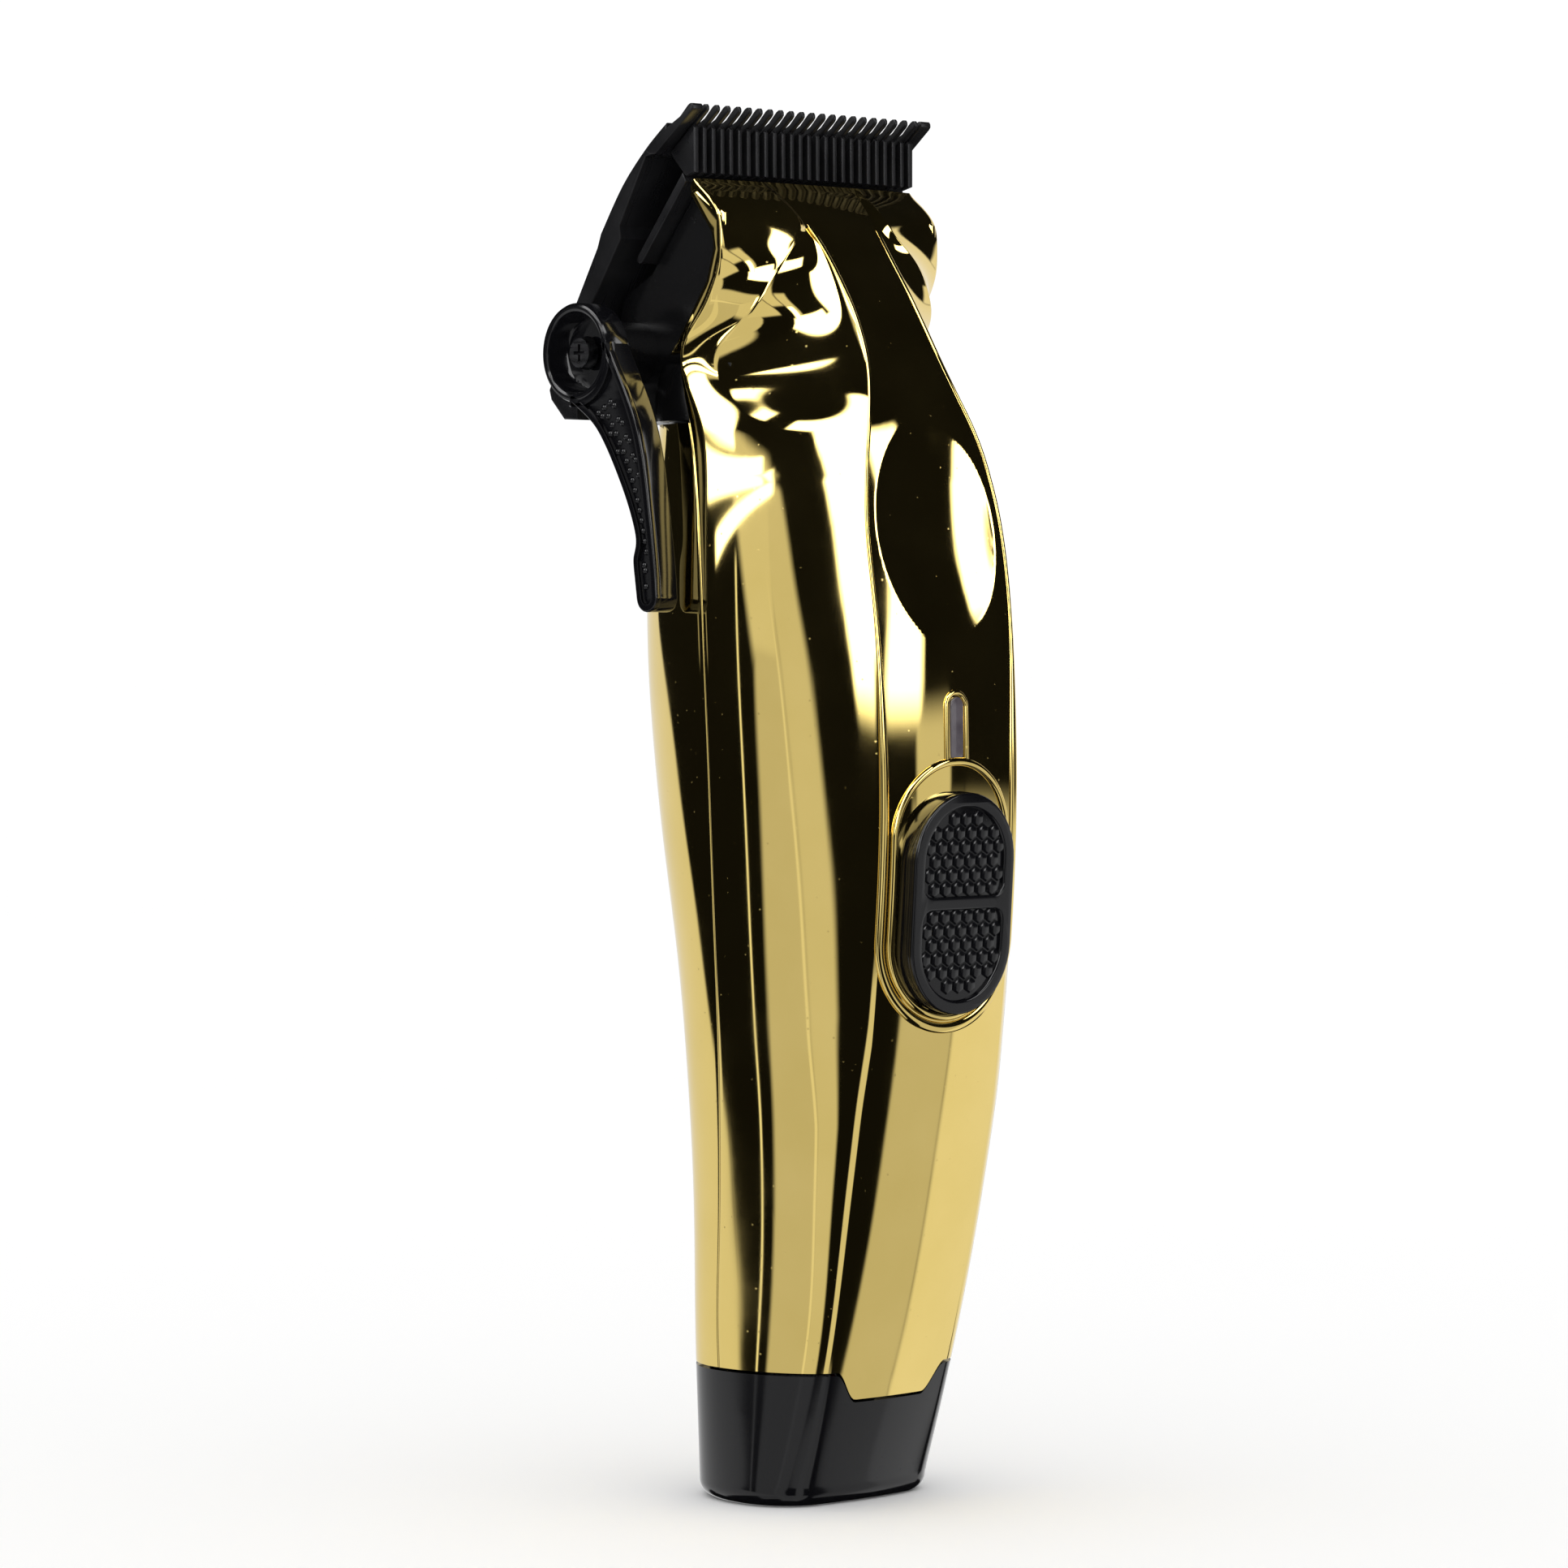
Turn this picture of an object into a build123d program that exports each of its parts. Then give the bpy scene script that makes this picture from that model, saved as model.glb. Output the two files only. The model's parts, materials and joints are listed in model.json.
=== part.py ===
from build123d import *
from math import cos, sin, radians
import os

os.makedirs("parts", exist_ok=True)

# Hair clipper. The frame's origin is the centre of the base, +Z points up towards the blade,
# -Y is the front with the switch, +Y is the palm side, and the taper lever is on the -X side.

# ------------------------------------------------------------------ driving dimensions (mm)
COVER_TOP = 170.9          # top edge of the front shell, just under the cutter
SEAM_Z = 17.6              # seam between the shells and the bottom cap
NOTCH_Z = 13.8             # lowest point of the front shell's tongue in the cap
WALL = 1.8                 # wall of the shells and the cap
SEAM = 0.12                # gap at a seam between two shells
FLOOR = 2.2                # floor of the cap

BLADE_HALF = 21.5          # half of the fixed blade's width
TOOTH_PITCH = 1.9
CUTTER_HALF = 19.6
CUTTER_PITCH = 1.53
BLADE_TILT = 40.0          # slide direction of the blade, leaning forward from vertical
BLADE_TRAVEL = 1.8

LEVER_Y, LEVER_Z = 15.7, 148.5      # the taper lever's pivot
LEVER_OUT, LEVER_IN = -28.0, -24.0  # the lever's outer and inner faces in X
LEVER_SWING = 45.0

MOTOR_Y = 1.5              # axis of the motor, along Z
MOTOR_R = 12.0
MOTOR_Z0, MOTOR_Z1 = 95.0, 127.0
CRANK = 1.25               # throw of the eccentric
SHAFT_R = 1.15
RUN_CLEARANCE = 0.05       # radial clearance of a running fit

BATTERY_R, BATTERY_LEN = 9.2, 65.0  # one 18650 cell
BATTERY_Y, BATTERY_Z0 = 0.4, 22.4

SWITCH_W, SWITCH_H = 18.0, 28.7     # sliding button
SWITCH_Y, SWITCH_Z = -25.2, 79.5    # point of the front surface at the switch
SWITCH_LEAN = 3.8                   # lean of the front surface there, in degrees
SWITCH_TRAVEL = 2.2
BEZEL_W, BEZEL_H, BEZEL_RIM = 22.9, 34.1, 1.3

LED_Z, LED_Y = 100.7, -26.0
LED_W, LED_H = 2.4, 7.7

SOCKET_Y = 6.2             # charging socket, under the back half of the cap
CAP_SCREW_Y = 2.0
SOCKET_BORE_R, SOCKET_DEPTH = 2.85, 9.0

# ------------------------------------------------------------------ housing outline
# One row per height: z, half width, y of the widest point, front y, back y, half width of the
# front panel, crown of the panel, and the two handles that shape the flank.
STATIONS = [
    (0.0, 15.2, 0.0, -9.6, 13.8, 9.2, 0.9, (2.2, 0.9), (0.0, -6.0)),
    (18.0, 17.0, 0.0, -15.2, 12.6, 10.2, 1.0, (2.4, 1.0), (0.0, -8.0)),
    (40.0, 19.0, -2.5, -20.2, 11.8, 11.0, 1.2, (2.6, 1.1), (0.0, -9.5)),
    (65.0, 21.3, -4.5, -24.4, 13.2, 11.4, 1.3, (2.4, 1.2), (0.0, -10.0)),
    (92.0, 22.8, -4.7, -26.2, 18.4, 11.4, 1.4, (2.0, 1.2), (0.0, -11.0)),
    (112.0, 23.4, -4.2, -25.6, 20.4, 11.9, 1.5, (2.0, 1.5), (0.0, -11.0)),
    (126.0, 22.6, -2.5, -23.6, 20.4, 12.2, 1.6, (2.2, 2.2), (0.0, -10.5)),
    (136.0, 21.0, 0.0, -21.4, 18.5, 10.2, 0.9, (3.4, 3.4), (0.0, -10.0)),
    (148.4, 19.2, 4.9, -16.4, 15.0, 6.3, 0.4, (3.0, 6.5), (-0.3, -8.0)),
    (154.5, 19.3, -0.2, -13.1, 13.0, 5.7, 0.4, (3.0, 5.0), (-1.5, -4.5)),
    (160.7, 19.3, -3.0, -8.8, 11.0, 5.6, 0.4, (3.0, 2.0), (-4.0, -1.8)),
    (165.5, 19.2, -2.9, -4.9, 9.0, 6.2, 0.4, (3.5, 0.3), (-5.0, -0.8)),
    (COVER_TOP, 19.0, 2.6, 1.4, 7.6, 7.6, 0.2, (3.5, 0.1), (-5.0, -0.3)),
]
BACK_HANDLE = 0.62         # Bezier handle of the round back, as a share of its half width


def housing_outline(station, inset):
    """Closed outline of the housing at one height, moved in by inset."""
    z, half, side_y, front, back, panel, crown, shoulder, flank = station
    half, front, back = half - inset, front + inset, back - inset
    corner = (panel - 0.3 * inset, front + crown)
    depth = BACK_HANDLE * (back - side_y)
    with BuildLine(mode=Mode.PRIVATE):
        face = ThreePointArc((-corner[0], corner[1]), (0, front), corner)
        hip = Bezier(
            corner,
            (corner[0] + shoulder[0], corner[1] + shoulder[1]),
            (half + flank[0], side_y + flank[1] * (1 - 0.08 * inset)),
            (half, side_y),
        )
        rear = Bezier((half, side_y), (half, side_y + depth), (BACK_HANDLE * half, back), (0, back))
    right = [face @ 0.5, face @ 0.75, corner]
    right += [hip @ share for share in (0.2, 0.4, 0.6, 0.8, 1.0)]
    right += [rear @ share for share in (0.25, 0.5, 0.75, 1.0)]
    right = [Vector(*point) for point in right]
    left = [Vector(-point.X, point.Y) for point in right[-2:0:-1]]
    with BuildSketch(Plane.XY.offset(z)) as outline:
        with BuildLine():
            Spline(*right, *left, periodic=True)
        make_face()
    return outline.sketch


def housing_loft(inset):
    """The housing as one solid, through all its outlines."""
    with BuildPart() as body:
        for station in STATIONS:
            add(housing_outline(station, inset))
        loft()
    return body.part


def parting_region(sign, shift=0.0):
    """Everything in front of (sign -1) or behind (sign 1) the parting surface."""
    far = sign * 60
    with BuildPart() as region:
        with BuildSketch(Plane.YZ):
            with BuildLine():
                line = Spline(*[(station[2] + shift, station[0]) for station in STATIONS])
                Polyline(line @ 0, (far, 0), (far, COVER_TOP), line @ 1)
            make_face()
        extrude(amount=40, both=True)
    return region.part


def seam_region(gap):
    """Everything above the cap's seam, with the tongue that dips down at the front."""
    low, high = NOTCH_Z + gap, SEAM_Z + gap
    with BuildPart() as region:
        with BuildSketch(Plane.XZ.offset(-40)):
            with BuildLine():
                Polyline((-40, high), (40, high), (40, 200), (-40, 200), close=True)
            make_face()
        extrude(amount=80)
        with BuildSketch(Plane.XZ.offset(1)):
            with BuildLine():
                Polyline((-9.6, high), (-5.9, low), (5.9, low), (9.6, high), close=True)
            make_face()
        extrude(amount=40)
    return region.part


def box_between(low, high):
    """A box from its lowest to its highest corner."""
    size = [b - a for a, b in zip(low, high)]
    middle = [(a + b) / 2 for a, b in zip(low, high)]
    with BuildPart() as block:
        with Locations(tuple(middle)):
            Box(*size)
    return block.part


def profile_solid(points, x_low, x_high):
    """A side profile given as (y, z) points, extruded from x_low to x_high."""
    with BuildPart() as solid:
        with BuildSketch(Plane.YZ.offset(x_low)):
            with BuildLine():
                Polyline(*points, close=True)
            make_face()
        extrude(amount=x_high - x_low)
    return solid.part


def rod(start, end, radius):
    """A round rod between two points."""
    axis = Vector(*end) - Vector(*start)
    with BuildPart() as solid:
        with BuildSketch(Plane(origin=start, z_dir=axis)):
            Circle(radius)
        extrude(amount=axis.length)
    return solid.part


def wire(points, radius, bend):
    """A round wire along straight runs joined by arcs."""
    with BuildPart() as solid:
        with BuildLine() as path:
            FilletPolyline(*points, radius=bend)
        with BuildSketch(Plane(origin=path.line @ 0, z_dir=path.line % 0)):
            Circle(radius)
        sweep()
    return solid.part


def screw(at, direction, length, head_r, shank_r, head_h, recess_r):
    """A pan-head screw with a cross recess; at is the top of its head, direction runs in."""
    top = Plane(origin=at, z_dir=tuple(-c for c in direction))
    with BuildPart() as solid:
        with BuildSketch(top.offset(-head_h)):
            Circle(head_r)
        extrude(amount=head_h, taper=12)
        with BuildSketch(top.offset(-length)):
            Circle(shank_r)
        extrude(amount=length - head_h)
        with BuildSketch(top):
            Rectangle(2 * recess_r, recess_r * 0.4)
            Rectangle(recess_r * 0.4, 2 * recess_r)
        extrude(amount=-head_h * 0.6, mode=Mode.SUBTRACT)
    return solid.part


def blade_point(normal, along):
    """(y, z) of a point given along the blade's slide and square to it, from the lever's pivot."""
    lean = radians(BLADE_TILT)
    y = LEVER_Y + normal * cos(lean) - along * sin(lean)
    z = LEVER_Z + normal * sin(lean) + along * cos(lean)
    return y, z


def blade_rect(n_low, n_high, s_low, s_high):
    """(y, z) corners of a rectangle lined up with the blade's slide."""
    return [
        blade_point(n_low, s_low),
        blade_point(n_high, s_low),
        blade_point(n_high, s_high),
        blade_point(n_low, s_high),
    ]


def save(name, part):
    """Label a finished piece and write it out."""
    part.label = name
    export_step(part, f"parts/{name}.step")


switch_plane = Plane(
    origin=(0, SWITCH_Y, SWITCH_Z),
    x_dir=(1, 0, 0),
    z_dir=(0, -cos(radians(SWITCH_LEAN)), -sin(radians(SWITCH_LEAN))),
)
led_plane = Plane(origin=(0, LED_Y, LED_Z), x_dir=(1, 0, 0), z_dir=(0, -1, 0))

# ------------------------------------------------------------------ shells
outer = housing_loft(0)
inner = housing_loft(WALL)

SHELL_SCREWS = [(15.5, 92.0), (-15.5, 92.0), (14.6, 133.0), (-14.6, 133.0)]
BOSS_R = 2.9
SHANK_R = 1.2
THUMB = (0, -27.4, 125.6)           # centre of the ellipsoid that forms the thumb recess
THUMB_SIZE = (13.4, 6.0, 18.0)
THUMB_LEAN = -10.6


def thumb_ellipsoid(grow):
    """The ellipsoid that dents the front under the head, larger by grow."""
    with BuildPart() as ball:
        Sphere(1)
        scale(by=tuple(axis + grow for axis in THUMB_SIZE))
    return Pos(*THUMB) * Rot(THUMB_LEAN, 0, 0) * ball.part


with BuildPart() as screw_posts:
    for x, z in SHELL_SCREWS:
        add(rod((x, -30, z), (x, 30, z), BOSS_R))
    add(outer, mode=Mode.INTERSECT)

with BuildPart() as cavity:
    add(inner)
    add(thumb_ellipsoid(WALL), mode=Mode.SUBTRACT)

with BuildPart() as front_shell:
    add(outer)
    add(thumb_ellipsoid(0), mode=Mode.SUBTRACT)
    add(cavity.part, mode=Mode.SUBTRACT)
    add(screw_posts.part)
    with BuildSketch(switch_plane.offset(-1.6)):
        SlotOverall(BEZEL_H, BEZEL_W, rotation=90)
    extrude(amount=2.5)
    with BuildSketch(switch_plane.offset(-0.9)):
        SlotOverall(BEZEL_H - 2 * BEZEL_RIM, BEZEL_W - 2 * BEZEL_RIM, rotation=90)
    extrude(amount=6, mode=Mode.SUBTRACT)
    with BuildSketch(switch_plane.offset(-6)):
        Rectangle(7, 15)
    extrude(amount=8, mode=Mode.SUBTRACT)
    with BuildSketch(led_plane.offset(-3.0)):
        SlotOverall(LED_H + 1.4, LED_W + 1.4, rotation=90)
    extrude(amount=3.2)
    with BuildSketch(led_plane.offset(-9)):
        SlotOverall(LED_H + 0.2, LED_W + 0.2, rotation=90)
    extrude(amount=11, mode=Mode.SUBTRACT)
    for x, z in SHELL_SCREWS:
        add(rod((x, -12, z), (x, 30, z), SHANK_R - 0.15), mode=Mode.SUBTRACT)
    add(parting_region(-1), mode=Mode.INTERSECT)
    add(seam_region(SEAM), mode=Mode.INTERSECT)

BACK_TOP = 139.6
with BuildPart() as back_shell:
    add(outer)
    add(inner, mode=Mode.SUBTRACT)
    add(screw_posts.part)
    for x, z in SHELL_SCREWS:
        add(rod((x, -10, z), (x, 30, z), SHANK_R + 0.15), mode=Mode.SUBTRACT)
        add(rod((x, 6, z), (x, 30, z), 2.3), mode=Mode.SUBTRACT)
    add(parting_region(1, SEAM), mode=Mode.INTERSECT)
    add(seam_region(SEAM), mode=Mode.INTERSECT)
    add(box_between((-40, -40, 0), (40, 40, BACK_TOP)), mode=Mode.INTERSECT)

with BuildPart() as housing_screws:
    for x, z in SHELL_SCREWS:
        add(screw((x, 8.4, z), (0, -1, 0), 18, 2.1, SHANK_R - 0.2, 1.8, 1.1))

# ------------------------------------------------------------------ bottom cap and charging socket
CAP_SCREW_X = 9.6
with BuildPart() as cap_hollow:
    add(inner)
    add(box_between((-40, -40, FLOOR), (40, 40, 30)), mode=Mode.INTERSECT)

with BuildPart() as bottom_cap:
    add(outer)
    fillet(faces().sort_by(Axis.Z)[0].edges(), 1.6)
    add(cap_hollow.part, mode=Mode.SUBTRACT)
    add(seam_region(0), mode=Mode.SUBTRACT)
    with Locations((0, SOCKET_Y, 0)):
        Cylinder(SOCKET_BORE_R + 0.9, 20, mode=Mode.SUBTRACT)
    for x in (-CAP_SCREW_X, CAP_SCREW_X):
        add(rod((x, CAP_SCREW_Y, -1), (x, CAP_SCREW_Y, FLOOR + 1), 1.1), mode=Mode.SUBTRACT)
        add(rod((x, CAP_SCREW_Y, -1), (x, CAP_SCREW_Y, 1.2), 1.95), mode=Mode.SUBTRACT)

with BuildPart() as cap_screws:
    for x in (-CAP_SCREW_X, CAP_SCREW_X):
        add(screw((x, CAP_SCREW_Y, 0.3), (0, 0, 1), 9, 1.8, 0.9, 0.8, 0.9))

SOCKET_TOP = SOCKET_DEPTH + 3.5
with BuildPart() as charge_socket:
    with BuildSketch(Plane.XY.offset(0.3)):
        with Locations((0, SOCKET_Y)):
            Circle(SOCKET_BORE_R + 0.8)
    extrude(amount=2.2)
    with BuildSketch(Plane.XY.offset(2.5)):
        with Locations((0, SOCKET_Y)):
            RectangleRounded(10, 6.6, 1)
    extrude(amount=SOCKET_TOP - 2.5)
    with BuildSketch(Plane.XY.offset(-1)):
        with Locations((0, SOCKET_Y)):
            Circle(SOCKET_BORE_R)
    extrude(amount=SOCKET_DEPTH + 1, mode=Mode.SUBTRACT)

PIN_R = 1.0
charge_pin = rod((0, SOCKET_Y, 1.6), (0, SOCKET_Y, SOCKET_DEPTH), PIN_R)

with BuildPart() as charge_contacts:
    for x in (-2.5, 2.5):
        add(box_between((x - 0.9, SOCKET_Y - 0.2, SOCKET_TOP), (x + 0.9, SOCKET_Y + 0.2, SOCKET_TOP + 3.5)))

# ------------------------------------------------------------------ chassis, battery and board
CHASSIS_Y = -11.2
CHASSIS_T = 1.4
BOARD_Y = -14.8
BOARD_T = 1.2
BOARD_SCREWS = [(x, z) for x in (-6.8, 6.8) for z in (46.0, 90.0)]
BATTERY_Z1 = BATTERY_Z0 + BATTERY_LEN

with BuildPart() as chassis:
    add(box_between((-9.0, CHASSIS_Y, 19.2), (9.0, CHASSIS_Y + CHASSIS_T, BATTERY_Z1 + 3.1)))
    for z in (19.2, BATTERY_Z1 + 1.3):
        add(box_between((-9.0, CHASSIS_Y + 0.5, z), (9.0, 8.4, z + 1.8)))
    for x in (-CAP_SCREW_X, CAP_SCREW_X):
        add(rod((x, CAP_SCREW_Y, 9.6), (x, CAP_SCREW_Y, 21.0), 2.2))
        add(rod((x, CAP_SCREW_Y, 5.0), (x, CAP_SCREW_Y, 14.0), 0.95), mode=Mode.SUBTRACT)
    for x, z in BOARD_SCREWS:
        add(rod((x, CHASSIS_Y + 0.4, z), (x, BOARD_Y + BOARD_T, z), 1.7))
        add(rod((x, CHASSIS_Y + 2, z), (x, BOARD_Y, z), 0.75), mode=Mode.SUBTRACT)

with BuildPart() as battery_cell:
    with BuildSketch(Plane.XY.offset(BATTERY_Z0)):
        with Locations((0, BATTERY_Y)):
            Circle(BATTERY_R)
    extrude(amount=BATTERY_LEN - 0.7)
    fillet(battery_cell.edges().filter_by(GeomType.CIRCLE), 0.8)
    with BuildSketch(Plane.XY.offset(BATTERY_Z0 + BATTERY_LEN - 0.7)):
        with Locations((0, BATTERY_Y)):
            Circle(3.2)
    extrude(amount=0.7)

with BuildPart() as battery_tabs:
    add(box_between((-3, -8.6, BATTERY_Z0 - 0.4), (3, 4, BATTERY_Z0)))
    add(box_between((-3, -8.6, BATTERY_Z1), (3, 4, BATTERY_Z1 + 0.4)))

with BuildPart() as control_board:
    add(box_between((-8.8, BOARD_Y, 43.0), (8.8, BOARD_Y + BOARD_T, 105.0)))
    for x, z in BOARD_SCREWS:
        add(rod((x, -20, z), (x, 0, z), 0.85), mode=Mode.SUBTRACT)

with BuildPart() as board_screws:
    for x, z in BOARD_SCREWS:
        add(screw((x, BOARD_Y - 0.9, z), (0, 1, 0), 4.2, 1.5, 0.65, 0.9, 0.8))

with BuildPart() as board_components:
    add(box_between((-3.2, BOARD_Y - 1.2, 56), (3.2, BOARD_Y, 62)))
    add(box_between((-5.8, BOARD_Y - 2.4, 48.6), (-1.4, BOARD_Y, 53)))
    add(box_between((1.0, BOARD_Y - 1.6, 49), (5.4, BOARD_Y, 52.6)))
    for z in (64.5, 67.5):
        for x in (-5, 0, 5):
            add(box_between((x - 1, BOARD_Y - 0.7, z - 0.6), (x + 1, BOARD_Y, z + 0.6)))

status_led = box_between((-0.9, BOARD_Y - 1.1, LED_Z - 2.6), (0.9, BOARD_Y, LED_Z + 2.6))

with BuildPart() as led_lens:
    with BuildSketch(led_plane):
        SlotOverall(LED_H, LED_W, rotation=90)
    extrude(amount=-8.6)

# ------------------------------------------------------------------ slide switch
SWITCH_BODY_Y = -19.6
slide_switch_body = box_between((-4.4, SWITCH_BODY_Y, 72.0), (4.4, BOARD_Y, 86.0))
SWITCH_SHIFT = -1.25                # the button rests low in its bezel

with BuildPart() as switch_button:
    with BuildSketch(switch_plane.offset(-0.6)):
        with Locations((0, SWITCH_SHIFT)):
            SlotOverall(SWITCH_H, SWITCH_W, rotation=90)
    extrude(amount=2.9)
    fillet(switch_button.faces().sort_by(Axis.Y)[0].edges(), 0.8)
    with BuildSketch(switch_plane.offset(2.3)):
        with Locations((0, SWITCH_SHIFT)):
            Rectangle(SWITCH_W - 1.6, 0.8)
    extrude(amount=-0.5, mode=Mode.SUBTRACT)

with BuildPart() as switch_slider:
    with BuildSketch(switch_plane.offset(-0.65)):
        with Locations((0, SWITCH_SHIFT)):
            Rectangle(5, 9)
    extrude(amount=-1.7)
    with BuildSketch(switch_plane.offset(-2.35)):
        with Locations((0, SWITCH_SHIFT)):
            Rectangle(3, 5)
    extrude(amount=-2.6)

# ------------------------------------------------------------------ motor
BEARING_BOSS_R = 3.4
with BuildPart() as motor_can:
    with BuildSketch(Plane.XY.offset(MOTOR_Z0)):
        with Locations((0, MOTOR_Y)):
            Circle(MOTOR_R)
    extrude(amount=MOTOR_Z1 - MOTOR_Z0)
    fillet(motor_can.faces().sort_by(Axis.Z)[-1].edges(), 1.2)
    with BuildSketch(Plane.XY.offset(MOTOR_Z0)):
        with Locations((0, MOTOR_Y)):
            Circle(MOTOR_R - 0.9)
    extrude(amount=MOTOR_Z1 - MOTOR_Z0 - 1.2, mode=Mode.SUBTRACT)
    with BuildSketch(Plane.XY.offset(MOTOR_Z1 - 2)):
        with Locations((0, MOTOR_Y)):
            Circle(BEARING_BOSS_R)
    extrude(amount=3.6)
    with BuildSketch(Plane.XY.offset(MOTOR_Z1 - 4)):
        with Locations((0, MOTOR_Y)):
            Circle(SHAFT_R + RUN_CLEARANCE)
    extrude(amount=8, mode=Mode.SUBTRACT)
    for x in (-8, 8):
        add(rod((x, MOTOR_Y, MOTOR_Z1 - 3), (x, MOTOR_Y, MOTOR_Z1 + 3), 0.8), mode=Mode.SUBTRACT)

with BuildPart() as motor_end_cap:
    with BuildSketch(Plane.XY.offset(MOTOR_Z0 - 1.6)):
        with Locations((0, MOTOR_Y)):
            Circle(MOTOR_R - 0.2)
    extrude(amount=1.6)
    with BuildSketch(Plane.XY.offset(MOTOR_Z0)):
        with Locations((0, MOTOR_Y)):
            Circle(MOTOR_R - 0.95)
    extrude(amount=1.4)
    with BuildSketch(Plane.XY.offset(MOTOR_Z0 - 0.9)):
        with Locations((0, MOTOR_Y)):
            Circle(SHAFT_R + RUN_CLEARANCE)
    extrude(amount=4, mode=Mode.SUBTRACT)

with BuildPart() as motor_magnets:
    for start in (20, 200):
        with BuildSketch(Plane.XY.offset(MOTOR_Z0 + 4)):
            with BuildLine():
                outer_arc = CenterArc((0, MOTOR_Y), MOTOR_R - 1.0, start, 140)
                inner_arc = CenterArc((0, MOTOR_Y), MOTOR_R - 3.0, start, 140)
                Line(outer_arc @ 0, inner_arc @ 0)
                Line(outer_arc @ 1, inner_arc @ 1)
            make_face()
        extrude(amount=23)

with BuildPart() as motor_rotor:
    with BuildSketch(Plane.XY.offset(MOTOR_Z0 + 5)):
        with Locations((0, MOTOR_Y)):
            Circle(MOTOR_R - 3.5)
            Circle(SHAFT_R, mode=Mode.SUBTRACT)
        with Locations((0, MOTOR_Y)):
            with PolarLocations(MOTOR_R - 3.5, 3, start_angle=90):
                Rectangle(5, 1.2, mode=Mode.SUBTRACT)
    extrude(amount=20)

ECC_Z0, ECC_Z1, PIN_Z1 = 134.0, 138.6, 145.2
motor_shaft = rod((0, MOTOR_Y, MOTOR_Z0 - 0.7), (0, MOTOR_Y, ECC_Z0 + 3.6), SHAFT_R)

ECC_R, CRANK_PIN_R, BEARING_R = 4.4, 1.5, 3.2
with BuildPart() as eccentric_cam:
    with BuildSketch(Plane.XY.offset(ECC_Z0)):
        with Locations((0, MOTOR_Y)):
            Circle(ECC_R)
    extrude(amount=ECC_Z1 - ECC_Z0)
    with BuildSketch(Plane.XY.offset(ECC_Z1)):
        with Locations((0, MOTOR_Y + CRANK)):
            Circle(CRANK_PIN_R)
    extrude(amount=PIN_Z1 - ECC_Z1)
    with BuildSketch(Plane.XY.offset(ECC_Z0 - 1)):
        with Locations((0, MOTOR_Y)):
            Circle(SHAFT_R)
    extrude(amount=4.6, mode=Mode.SUBTRACT)

with BuildPart() as cam_bearing:
    with BuildSketch(Plane.XY.offset(PIN_Z1 - 4.2)):
        with Locations((0, MOTOR_Y + CRANK)):
            Circle(BEARING_R)
            Circle(CRANK_PIN_R, mode=Mode.SUBTRACT)
    extrude(amount=4)

MOUNT_Z0, MOUNT_T = MOTOR_Z1 + 0.2, 2.4
with BuildPart() as motor_mount:
    with BuildSketch(Plane.XY.offset(MOUNT_Z0)):
        with Locations((0, MOTOR_Y)):
            RectangleRounded(26, 25, 5)
            Circle(BEARING_BOSS_R + 0.1, mode=Mode.SUBTRACT)
        with Locations((-8, MOTOR_Y), (8, MOTOR_Y)):
            Circle(1.1, mode=Mode.SUBTRACT)
    extrude(amount=MOUNT_T)

with BuildPart() as motor_screws:
    for x in (-8, 8):
        top = MOUNT_Z0 + MOUNT_T + 1.0
        add(screw((x, MOTOR_Y, top), (0, 0, -1), 4.9, 1.8, 0.75, 1.0, 0.9))

with BuildPart() as motor_damper:
    with BuildSketch(Plane.XY.offset(MOTOR_Z0 + 5)):
        with Locations((0, MOTOR_Y)):
            Circle(MOTOR_R + 1.4)
            Circle(MOTOR_R, mode=Mode.SUBTRACT)
    extrude(amount=7)

with BuildPart() as motor_leads:
    for x in (-3.0, 3.0):
        add(wire([(x, -6, 93.35), (x, -6, 91.7), (x, -12.3, 91.7), (x, -13.1, 96.2)], 0.5, 0.7))

with BuildPart() as battery_leads:
    for x in (-1.4, 1.4):
        add(wire([(x, -5, 19.15), (x, -5, 17.4), (x, -12, 17.4), (x, -12.9, 45)], 0.5, 0.7))

# ------------------------------------------------------------------ head frame
FRAME_HALF = 17.3
CHEEK_IN = 14.9
FRAME_Z = BACK_TOP + 0.1
cheek = [
    (1.0, 168.0), (-3.2, 163.5), (-3.4, 161.0), (-1.5, 157.0), (2.0, 152.0), (2.5, 148.4),
    (1.0, 142.0), (1.0, FRAME_Z), (20.9, FRAME_Z), (21.2, 141.4), (18.2, 155.3),
    (17.2, 156.4), blade_point(4.2, 10.0), blade_point(4.2, 23.0),
]
LEVER_BOSS_R, BUSH_R, LEVER_SHAFT_R = 4.2, 3.2, 2.4
BOSS_X = -23.2

with BuildPart() as frame_collar:
    add(outer)
    add(box_between((-30, -2, FRAME_Z), (30, 40, 147)), mode=Mode.INTERSECT)

with BuildPart() as frame_foot:
    add(inner)
    add(box_between((-30, -8.5, 136.6), (30, 40, FRAME_Z)), mode=Mode.INTERSECT)

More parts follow.
